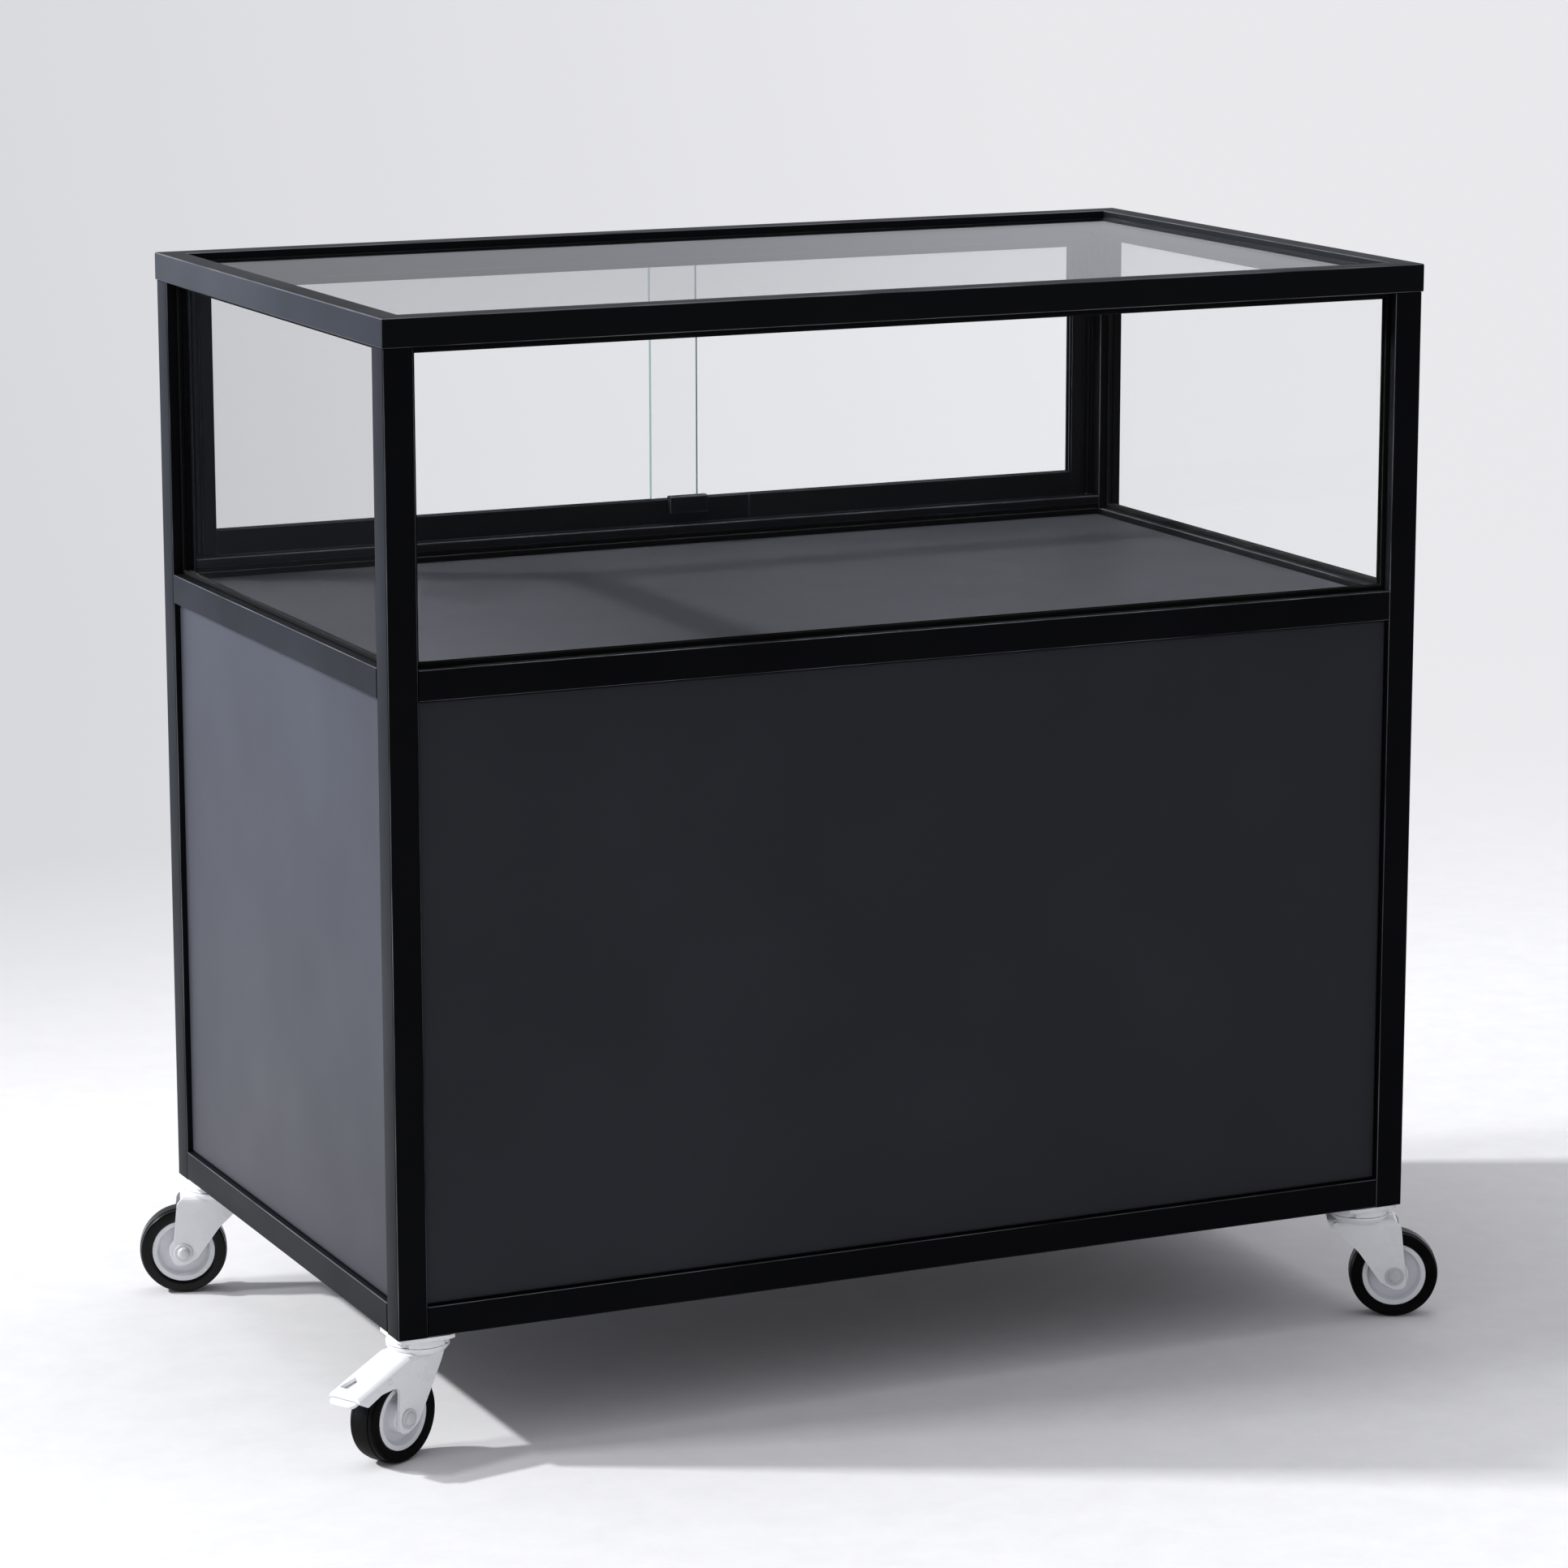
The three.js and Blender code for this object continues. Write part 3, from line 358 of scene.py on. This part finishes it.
# Each has its darker and paler colour, its lowest and highest roughness, the relief's height, and how
# fine the grain and the cloud are, per metre.
near_black, soft_black = (0.0032, 0.0032, 0.0037), (0.0045, 0.0045, 0.0052)
# The blue Specular Tint of the coats, the laminate and the anodising is a painted reflection: it cools
# what their sheen mirrors.
powder_coat = coated(
    "black powder coat", near_black, soft_black, (0.46, 0.56),
    0.016 * mm, 1700.0, Specular_IOR_Level=0.16, Specular_Tint=(0.80, 0.86, 1, 1),
)
cap_coat = coated(
    "black powder coat on the top frame", near_black, soft_black, (0.40, 0.50),
    0.014 * mm, 1700.0, Specular_IOR_Level=0.34, Specular_Tint=(0.80, 0.86, 1, 1),
)
# A painted highlight: the arris strips get this paler, smoother coat, broken up by the cloud.
arris_highlight_coat = coated(
    "black powder coat, painted arris highlight", (0.012, 0.012, 0.014), (0.17, 0.175, 0.195), (0.26, 0.38),
    0.010 * mm, 1700.0, 11.0, Specular_IOR_Level=0.4,
)
panel_coat = coated(
    "charcoal panel coat", (0.0212, 0.0206, 0.0258), (0.0245, 0.0239, 0.0296), (0.50, 0.60),
    0.02 * mm, 1500.0, Specular_IOR_Level=0.92, Specular_Tint=(0.82, 0.87, 1, 1),
)
deck_laminate = coated(
    "grey deck laminate", (0.047, 0.0475, 0.0555), (0.0555, 0.056, 0.065), (0.46, 0.54),
    0.012 * mm, 1100.0, Specular_IOR_Level=0.12, Specular_Tint=(0.88, 0.92, 1, 1),
)
black_anodised = coated(
    "black anodised aluminium", (0.0045, 0.0045, 0.0057), (0.0065, 0.0065, 0.008), (0.30, 0.38),
    0.001 * mm, 2600.0, Specular_IOR_Level=0.6, Specular_Tint=(0.86, 0.9, 1, 1),
)
# A painted highlight: the rounded edges of the tracks, jambs and catch get this paler, smoother finish.
anodised_arris_highlight = coated(
    "black anodised, painted arris highlight", (0.03, 0.032, 0.038), (0.14, 0.15, 0.18), (0.2, 0.28),
    0.001 * mm, 2600.0, 14.0, Specular_IOR_Level=0.5,
)
soft_rubber = coated(
    "gasket rubber", (0.003, 0.003, 0.003), (0.005, 0.005, 0.005), (0.6, 0.75),
    0.02 * mm, 1500.0, Specular_IOR_Level=0.2,
)
white_paint = coated(
    "white castor paint", (0.85, 0.86, 0.885), (0.90, 0.905, 0.92), (0.24, 0.34),
    0.01 * mm, 700.0, 30.0,
)
pale_plastic = coated(
    "pale grey wheel plastic", (0.74, 0.75, 0.78), (0.80, 0.81, 0.835), (0.34, 0.44),
    0.01 * mm, 1200.0, 40.0,
)
tyre_rubber = coated(
    "tyre rubber", (0.0015, 0.0015, 0.0018), (0.0028, 0.0028, 0.0032), (0.22, 0.34),
    0.015 * mm, 1300.0, 60.0, Specular_IOR_Level=0.25,
)
zinc_plate = coated(
    "zinc plate", (0.68, 0.69, 0.71), (0.78, 0.79, 0.81), (0.3, 0.42),
    0.008 * mm, 1500.0, 80.0, Metallic=0.2,
)
print("finishes", len(bpy.data.materials))

# %% [markdown]
# ## Glass
# A pane is a real slab with both faces, so it bends and reflects light as glass does. Its index is
# lower than that of window glass, and lowest in the top pane, which is seen nearly edge on and would
# mirror too much. Light that goes through a pane still has to reach the deck, so shadow rays pass
# nearly unchanged. The polished edges look darker and greener, because one looks into the length of
# the pane there.

# %% Glass finishes
shadow_tint = (0.94, 0.955, 0.955)
clear_tint, edge_tint = (0.995, 0.998, 0.999), (0.22, 0.37, 0.39)


def glass(name, colour, roughness, index=1.25):
    """Principled glass that shadow rays pass as if it were a clear sheet."""
    material, tree, shader = blank_material(name)
    shader.inputs["Base Color"].default_value = (*colour, 1)
    shader.inputs["Transmission Weight"].default_value = 1.0
    shader.inputs["IOR"].default_value = index
    shader.inputs["Roughness"].default_value = roughness
    clear = tree.nodes.new("ShaderNodeBsdfTransparent")
    clear.inputs["Color"].default_value = (*shadow_tint, 1)
    shadow_ray = tree.nodes.new("ShaderNodeLightPath").outputs["Is Shadow Ray"]
    show_either(tree, shadow_ray, shader, clear)
    return material


clear_glass = glass("clear glass", clear_tint, 0.0)
top_clear_glass = glass("low-reflection top glass", clear_tint, 0.0, index=1.10)
glass_edge = glass("polished glass edge", edge_tint, 0.12)
print("glass", [m.name for m in (clear_glass, top_clear_glass, glass_edge)])

# %% [markdown]
# ## Tube frame
# The posts and rails are 25 mm square steel tube with a 1.5 mm wall. Each is a hollow loft: up the
# outside, over the cut end with its broken edge, and back down the bore. The four long arrises carry the
# paler coat, a painted highlight.

# %% Posts and rails
def box_frame(node, axis):
    """Middle of the node's low end, half sizes across the axis, and length along it."""
    low, high = (np.array(corner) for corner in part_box(node))
    size = turn_to_local(high - low, axis)
    foot = (low + high) / 2
    index = "xyz".index(axis)
    foot[index] = low[index]
    return foot, size[:2] / 2, size[2]


def turn_to_local(vector, axis):
    """The (u, v, w) parts of an (x, y, z) vector, the opposite of turn_to."""
    return np.asarray(vector)[{"x": [1, 2, 0], "y": [2, 0, 1], "z": [0, 1, 2]}[axis]]


def tube(node, axis, wall=1.5 * mm, radius=2 * mm, arris=0.25 * mm):
    """A square tube along an axis, in place of a CAD node."""
    foot, half, length = box_frame(node, axis)
    insets = [arris, 0, 0, arris, wall, wall]
    depths = [0, arris, length - arris, length, length, 0]
    rows = rectangle_rows(half, radius, insets, depths, steps=5)
    placed = turn_to(rows, axis) + foot
    piece = skin(f"{node}_tube", [(placed, True)], powder_coat, body_of_node(node), [node])
    # The middle strip of each long arris gets a painted highlight.
    paint_arris_highlights(piece, arris_highlight_coat, corner_strips(rows.shape[1], 1))


corner_names = ("front_left", "front_right", "rear_left", "rear_right")
tube_nodes = {f"{name}_post": "z" for name in corner_names}
for level in ("bottom", "mid"):
    tube_nodes |= {f"{side}_{level}_rail": "x" if side in ("front", "rear") else "y"
                   for side in ("front", "rear", "left", "right")}
for node, axis in tube_nodes.items():
    tube(node, axis)
print("tubes", len(tube_nodes))

# %% [markdown]
# ## Top frame
# One mitred ring carries the top glass. Its section goes up the outside, across the land, down to
# the ledge that the glass lies on, and back along the underside. Three stops hang from it, just
# inside the gaskets of the fixed panes. The arrises beside the land and the corners are painted
# paler, as painted highlights.

# %% Top frame
low, high = (np.array(corner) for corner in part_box("top_frame"))
cap_half = (high - low)[:2] / 2
cap_top, stop_bottom = high[2], low[2]
cap_bottom = cap_top - 23 * mm
land, ledge, ledge_depth = 21 * mm, 31 * mm, 12.6 * mm
section_steps, cap_radius = 4, 1.2 * mm
cap_section = soft_corners(
    [(0, cap_bottom), (0, cap_top), (land, cap_top), (land, cap_top - ledge_depth),
     (ledge, cap_top - ledge_depth), (ledge, cap_bottom)],
    np.array([1.2, 1.6, 1.2, 0.3, 0.5, 0.5]) * mm, steps=section_steps,
)
ring = rectangle_rows(cap_half, cap_radius, cap_section[:, 0], cap_section[:, 1], steps=3)

stop_inset = 26 * mm  # from the ring's outside to a stop's inner face
gasket_gap, sunk = 0.3 * mm, 0.5 * mm
stop_radius, stop_arris = 0.6 * mm, 0.2 * mm


def glazing_stop(side, axis, sign):
    """A bar beside a gasket and as long as it; its upper edge is sunk into the ring."""
    gasket_low, gasket_high = (np.array(corner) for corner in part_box(f"{side}_gasket"))
    across = 1 if axis == "x" else 0
    along = 1 - across
    by_gasket = (gasket_high if sign < 0 else gasket_low)[across] - sign * gasket_gap
    inside = sign * (cap_half[across] - stop_inset)
    centre = np.zeros(3)
    centre[across] = (by_gasket + inside) / 2
    centre[along] = gasket_low[along]
    centre[2] = (stop_bottom + cap_bottom + sunk) / 2
    thick, tall = abs(inside - by_gasket) / 2, (cap_bottom + sunk - stop_bottom) / 2
    half = (thick, tall) if axis == "x" else (tall, thick)
    length = gasket_high[along] - gasket_low[along]
    depths = [0, stop_arris, length - stop_arris, length]
    bar = rectangle_rows(half, stop_radius, [stop_arris, 0, 0, stop_arris], depths)
    return turn_to(bar, axis) + centre, False


stops = [glazing_stop("front", "x", -1), glazing_stop("left", "y", -1), glazing_stop("right", "y", 1)]
ring_piece = skin("top_frame_ring", [(ring, True), *stops], cap_coat, "cabinet", ["top_frame"])
columns = ring.shape[1]
corner_rows = (section_steps + 1) * np.arange(3)[:, None]  # the outside's foot, its top, the land's end
along = (corner_rows + (1, 2)).reshape(-1, 1) * columns + np.arange(columns)
# Painted highlights on the arrises beside the land and on the corners.
paint_arris_highlights(ring_piece, arris_highlight_coat, np.r_[along.ravel(), corner_strips(columns, section_steps)])
print("top frame", np.round(cap_half * 2, 4), "land", land)

# %% [markdown]
# ## Panes
# Every pane has ground and polished edges: a narrow arris between the face and the edge, which
# catches a thin line of light. The doors are 4 mm thick, the fixed panes 6 mm.

# %% Panes and tape
def pane(node, axis, clear=clear_glass, arris=0.5 * mm, radius=1.2 * mm):
    """A slab with broken edges; its last two faces, the large ones, are clear."""
    foot, half, thickness = box_frame(node, axis)
    insets = [arris, 0, 0, arris]
    depths = [0, arris, thickness - arris, thickness]
    rows = turn_to(rectangle_rows(half, radius, insets, depths, steps=3), axis) + foot
    piece = skin(f"{node}_pane", [(rows, False)], [clear, glass_edge], body_of_node(node), [node])
    slots = np.ones(len(piece.data.polygons), int)
    slots[-2:] = 0
    piece.data.polygons.foreach_set("material_index", slots)


pane("top_glass", "z", top_clear_glass)
for node, axis in {"front_glass": "y", "left_glass": "x", "right_glass": "x",
                   "glass_door_left": "y", "glass_door_right": "y"}.items():
    pane(node, axis)
for node in ("front_gasket", "left_gasket", "right_gasket", "top_glass_tape"):
    bevelled(node, soft_rubber, 0.25 * mm)

# %% [markdown]
# ## Deck, base board and panels
# The deck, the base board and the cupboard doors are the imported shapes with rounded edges. The panels
# are folded sheet: a flat face, a small bend and returns, so their edge reads as a soft line inside
# the frame.

# %% Boards
bevelled("display_deck", deck_laminate, 0.4 * mm)
bevelled("base_board", panel_coat, 0.5 * mm)
for node in ("cupboard_door_left", "cupboard_door_right"):
    bevelled(node, panel_coat, 0.6 * mm, segments=3)


# %% Folded panels
def folded_panel(node, axis, outward):
    """Rows from the inner face out over the return's edge and round the bend to the outer face."""
    foot, half, depth = box_frame(node, axis)
    sheet, bend, arris, corner = 1.5 * mm, 2 * mm, 0.5 * mm, 0.4 * mm
    t = np.linspace(0, np.pi / 2, 6)
    outer_bend = (bend - bend * np.sin(t), depth - bend + bend * np.cos(t))
    insets = np.r_[sheet + arris, sheet, sheet, 0, outer_bend[0][::-1]]
    depths = np.r_[depth - sheet, depth - sheet - arris, 0, 0, outer_bend[1][::-1]]
    rows = rectangle_rows(half, corner, insets, depths, steps=2)
    if outward < 0:
        rows[..., 2] = depth - rows[..., 2]
        rows = rows[:, ::-1]
    placed = turn_to(rows, axis) + foot
    skin(f"{node}_sheet", [(placed, False)], panel_coat, "cabinet", [node], sharp_deg=50)


folded_panel("front_panel", "y", -1)
folded_panel("left_panel", "x", -1)
folded_panel("right_panel", "x", 1)

# %% [markdown]
# ## Door tracks
# The tracks, jambs and the catch are extruded aluminium, anodised black. Their section is already in
# the imported model, so they only get the small radii that an extrusion die leaves; those radii carry
# a painted highlight.

# %% Tracks and catch
track_nodes = ("lower_glass_track", "upper_glass_track", "left_track_jamb", "right_track_jamb",
               "lower_cupboard_track", "upper_cupboard_track")
for node in track_nodes:
    bevelled(node, black_anodised, 0.35 * mm, arris_highlight_finish=anodised_arris_highlight)
bevelled("door_catch", black_anodised, 0.6 * mm, segments=3, arris_highlight_finish=anodised_arris_highlight)
print("tracks and jambs", len(track_nodes), "and the catch")

# %% [markdown]
# ## Castors
# A castor has a painted fork and plate, a moulded rim, a rubber tyre and a zinc plated axle. The
# round pieces are spun from profiles of (radius, place along the axle) in millimetres, and each
# castor is turned to the way its wheel trails.

# %% Castor places
joints = {joint["name"]: joint for joint in frame["record"]["behaviour"]["joints"]}
castors = {}
for name in corner_names:
    pivot = np.array(joints[f"{name}_swivel"]["pos_m"])
    axle = np.array(joints[f"{name}_wheel_spin"]["pos_m"])
    trail = axle - pivot
    castors[name] = (axle, math.degrees(math.atan2(trail[1], trail[0])))
print({name: round(angle, 1) for name, (axle, angle) in castors.items()})

# %% Wheels
tyre_profile = soft_corners(
    [(25.9, -8.7), (27.3, -8.7), (27.3, -11.4), (29.5, -12), (36.6, -12), (36.9, -7.9), (36.4, -7.5),
     (37.5, -7.0), (37.5, 7.0), (36.4, 7.5), (36.9, 7.9), (36.6, 12), (29.5, 12), (27.3, 11.4),
     (27.3, 8.7), (25.9, 8.7)],
    np.array([0.2, 0.2, 0.4, 1.5, 5.0, 0.3, 0.3, 0.4, 0.4, 0.3, 0.3, 5.0, 1.5, 0.4, 0.2, 0.2]), steps=5,
) * mm
rim_profile = soft_corners(
    [(4.3, -13.7), (11.6, -13.7), (12.4, -12.9), (13.4, -4.2), (21.0, -4.0), (22.4, -9.6), (22.9, -11.0),
     (26.9, -11.0), (27.0, -9.0), (25.6, -9.0), (25.6, 9.0), (27.0, 9.0), (26.9, 11.0), (22.9, 11.0),
     (22.4, 9.6), (21.0, 4.0), (13.4, 4.2), (12.4, 12.9), (11.6, 13.7), (4.3, 13.7)],
    np.array([0.3, 0.5, 0.5, 1.5, 1.8, 0.8, 0.8, 0.5, 0.3, 0.2,
              0.2, 0.3, 0.5, 0.8, 0.8, 1.8, 1.5, 0.5, 0.5, 0.3]), steps=4,
) * mm
head = np.array([(4.0, 17.3), (7.7, 17.3), (8.0, 17.6), (8.0, 18.0), (7.7, 18.3), (5.4, 18.3), (5.3, 19.2),
                 (4.9, 20.4), (4.0, 21.2), (2.6, 21.65), (1.2, 21.7), (0.05, 21.7)]) * mm
axle_profile = np.concatenate([head[::-1] * (1, -1), head])


def on_axle(name, profile, closed, steps=96):
    """A profile of (radius, place along the axle), spun and turned to where a castor's wheel is."""
    axle, angle = castors[name]
    return spot(axle, angle, turn_to(spun_rows(profile, steps), "y")), closed


for name in castors:
    wheel, fork = f"{name}_wheel", f"{name}_fork"
    skin(f"castor_{name}_tread", [on_axle(name, tyre_profile, True)], tyre_rubber, wheel,
         [f"castor_{name}_tyre"])
    skin(f"castor_{name}_wheel_rim", [on_axle(name, rim_profile, True)], pale_plastic, wheel,
         [f"castor_{name}_rim"])
    skin(f"castor_{name}_bolt", [on_axle(name, axle_profile, False, 64)], zinc_plate, fork,
         [f"castor_{name}_axle"])
    bevelled(f"castor_{name}_fork", white_paint, 0.7 * mm, segments=3, angle_deg=40)
    bevelled(f"castor_{name}_plate", white_paint, 0.4 * mm)
for name in ("front_left", "rear_right"):
    bevelled(f"castor_{name}_pedal", white_paint, 0.5 * mm, segments=3)
print("castors", len(castors))

# %% [markdown]
# ## Studio
# A pale paper sweep lies under the counter and bends up behind it. Two far lamps on the left behind
# the counter shine over the paper's upper edge and draw the shadows to the right, and a weak bank
# hangs above. The paper shows from the front only, so it hides nothing in a view from behind. Black
# sheen would mirror a bright studio, so the paper and the room show less of themselves in reflections
# than to the eye.

# %% Paper
floor_dark, floor_light, unlit = (0.83, 0.83, 0.842), (0.87, 0.87, 0.88), (0.02, 0.02, 0.02)
glow_left, glow_right, glow_mirrored = (0.60, 0.605, 0.63), (0.80, 0.80, 0.825), (0.54, 0.60, 0.74)
hidden_at_left, hidden_in_front = 0.98, 0.9  # shares of the paper that reflections leave out
least_coolness = 0.3
dimmed_as_lamp = 0.5
coats_at_left, coats_at_right = 2.0, 0.5  # the glow's strength in the coats
pane_gain = 0.06  # makes up for what a pane takes away


def sweep_rows(half_width=9.0, near=-1.5, bend_start=1.2, bend=1.7, height=3.0, steps=24):
    """Floor, then a quarter circle of radius bend, then the wall, as points (y, z), at two x."""
    t = np.linspace(0, np.pi / 2, steps)
    y = np.r_[near, bend_start + bend * np.sin(t), bend_start + bend]
    z = np.r_[0, bend - bend * np.cos(t), height]
    x = np.array([-half_width, half_width])
    return np.stack(np.broadcast_arrays(x[None, :], y[:, None], z[:, None]), -1)


def studio_paper():
    """A matt floor; up the wall the paper glows by itself, to stay even, and it has no back."""
    material, tree, shader = blank_material("studio paper")
    maths, ramp = partial(math_node, tree), partial(ramp_node, tree)
    shader.inputs["Roughness"].default_value = 0.9
    shader.inputs["Specular IOR Level"].default_value = 0.1
    point = tree.nodes.new("ShaderNodeTexCoord").outputs["Object"]
    place = tree.nodes.new("ShaderNodeSeparateXYZ")
    tree.links.new(point, place.inputs["Vector"])
    x, y, z = (place.outputs[axis] for axis in "XYZ")
    wall = ramp(maths("ADD", y, z), 0.75, 1.75)
    at_left = ramp(x, -0.4, -1.1)
    in_front = ramp(y, 0.3, -0.4)

    # Each of these is 1 for one kind of ray: lighting something matt, mirrored by anything, mirrored by
    # a polished pane, mirrored by a coat behind a pane, seen through a pane, and mirrored by a coat.
    rays = tree.nodes.new("ShaderNodeLightPath").outputs
    lighting = maths("MINIMUM", rays["Diffuse Depth"], 1.0)
    mirrored = maths("MINIMUM", rays["Glossy Depth"], 1.0)
    in_panes = maths("MULTIPLY", mirrored, rays["Is Singular Ray"])
    behind_glass = maths("MULTIPLY", mirrored, rays["Is Transmission Ray"])
    through_glass = maths("SUBTRACT", rays["Is Transmission Ray"], behind_glass)
    in_coats = maths("SUBTRACT", mirrored, in_panes)

    # The share of the paper that is hidden from mirrored rays, by where they meet it.
    in_top_glass = ramp(x, 0.5, 2.0, 0.30, 0.05)
    from_panes = maths("MAXIMUM", in_top_glass, maths("MULTIPLY", at_left, hidden_at_left))
    from_deck = ramp(x, 1.15, 1.7, 0.92, 0.60)
    from_all = maths("MULTIPLY", in_front, hidden_in_front)
    hidden = maths("MAXIMUM", maths("MULTIPLY", in_panes, from_panes),
                   maths("MULTIPLY", behind_glass, from_deck))
    hidden = maths("MAXIMUM", hidden, maths("MULTIPLY", mirrored, from_all))

    fibre = ramp(noise_node(tree, point, 22.0, 6.0, 0.7), 0.35, 0.65)
    white = mix_node(tree, fibre, floor_dark, floor_light)
    colour = mix_node(tree, maths("MAXIMUM", wall, hidden), white, unlit)
    tree.links.new(colour, shader.inputs["Base Color"])

    # The glow brightens to the right; a mirrored one is cooler, most of all at the left.
    glow = mix_node(tree, ramp(x, -0.9, 1.6), glow_left, glow_right)
    coolness = maths("MULTIPLY", maths("MAXIMUM", at_left, least_coolness), mirrored)
    glow = mix_node(tree, coolness, glow, glow_mirrored)
    tree.links.new(glow, shader.inputs["Emission Color"])
    dimmed = maths("MAXIMUM", hidden, maths("MULTIPLY", lighting, dimmed_as_lamp))
    level = maths("MULTIPLY", wall, maths("SUBTRACT", 1.0, dimmed))
    by_side = maths("MULTIPLY_ADD", at_left, coats_at_left - coats_at_right, coats_at_right - 1.0)
    lifted = maths("ADD", maths("MULTIPLY", in_coats, by_side), 1.0)
    level = maths("MULTIPLY", level, lifted)
    level = maths("MULTIPLY", level, maths("MULTIPLY_ADD", through_glass, pane_gain, 1.0))
    tree.links.new(level, shader.inputs["Emission Strength"])

    from_behind = tree.nodes.new("ShaderNodeNewGeometry").outputs["Backfacing"]
    show_either(tree, from_behind, shader, tree.nodes.new("ShaderNodeBsdfTransparent"))
    return material


rows = sweep_rows()
backdrop_mesh = bpy.data.meshes.new("backdrop")
quads = [[2 * k, 2 * k + 1, 2 * k + 3, 2 * k + 2] for k in range(rows.shape[0] - 1)]
backdrop_mesh.from_pydata(rows.reshape(-1, 3).tolist(), [], quads)
backdrop_mesh.shade_smooth()
backdrop_mesh.materials.append(studio_paper())
backdrop = bpy.data.objects.new("backdrop", backdrop_mesh)
bpy.context.scene.collection.objects.link(backdrop)
print("paper rows", len(rows), "of width", np.ptp(rows[0, :, 0]))

# %% Lamps and room
aim_height = 0.3
room_lights, room_mirrored = 0.62, 0.08  # shares of the room's brightness to the eye


def soft_lamp(name, azimuth_deg, elevation_deg, distance, width, height, watts):
    """A rectangle of light that looks at the axis of the counter from a bearing and an elevation."""
    lamp_data = bpy.data.lights.new(name, "AREA")
    lamp_data.shape = "RECTANGLE"
    lamp_data.size, lamp_data.size_y = width, height
    lamp_data.energy = watts
    lamp = bpy.data.objects.new(name, lamp_data)
    a, e = math.radians(azimuth_deg), math.radians(elevation_deg)
    away = distance * math.cos(e)
    lamp.location = (away * math.cos(a), away * math.sin(a), aim_height + distance * math.sin(e))
    lamp.rotation_euler = (math.pi / 2 - e, 0, a + math.pi / 2)
    bpy.context.scene.collection.objects.link(lamp)


soft_lamp("key strip", 154.5, 38.0, distance=16.0, width=0.9, height=0.45, watts=1850)
soft_lamp("side strip", 170, 41, distance=16.0, width=2.0, height=0.6, watts=640)
soft_lamp("top bank", 50, 80, distance=3.6, width=3.0, height=2.4, watts=27)
room = bpy.data.worlds.new("room")
bpy.context.scene.world = room
room.use_nodes = True
sky = room.node_tree.nodes["Background"]
sky.inputs["Color"].default_value = (0.81, 0.81, 0.86, 1)
maths = partial(math_node, room.node_tree)
rays = room.node_tree.nodes.new("ShaderNodeLightPath").outputs
bounced = maths("MINIMUM", maths("ADD", rays["Diffuse Depth"], rays["Glossy Depth"]), 1.0)
mirrored = maths("MULTIPLY", bounced, rays["Is Glossy Ray"])
strength = maths("MULTIPLY_ADD", bounced, room_lights - 1.0, 1.0)
strength = maths("MULTIPLY_ADD", mirrored, room_mirrored - room_lights, strength)
room.node_tree.links.new(strength, sky.inputs["Strength"])
print("lamps", [lamp.name for lamp in bpy.data.lights])
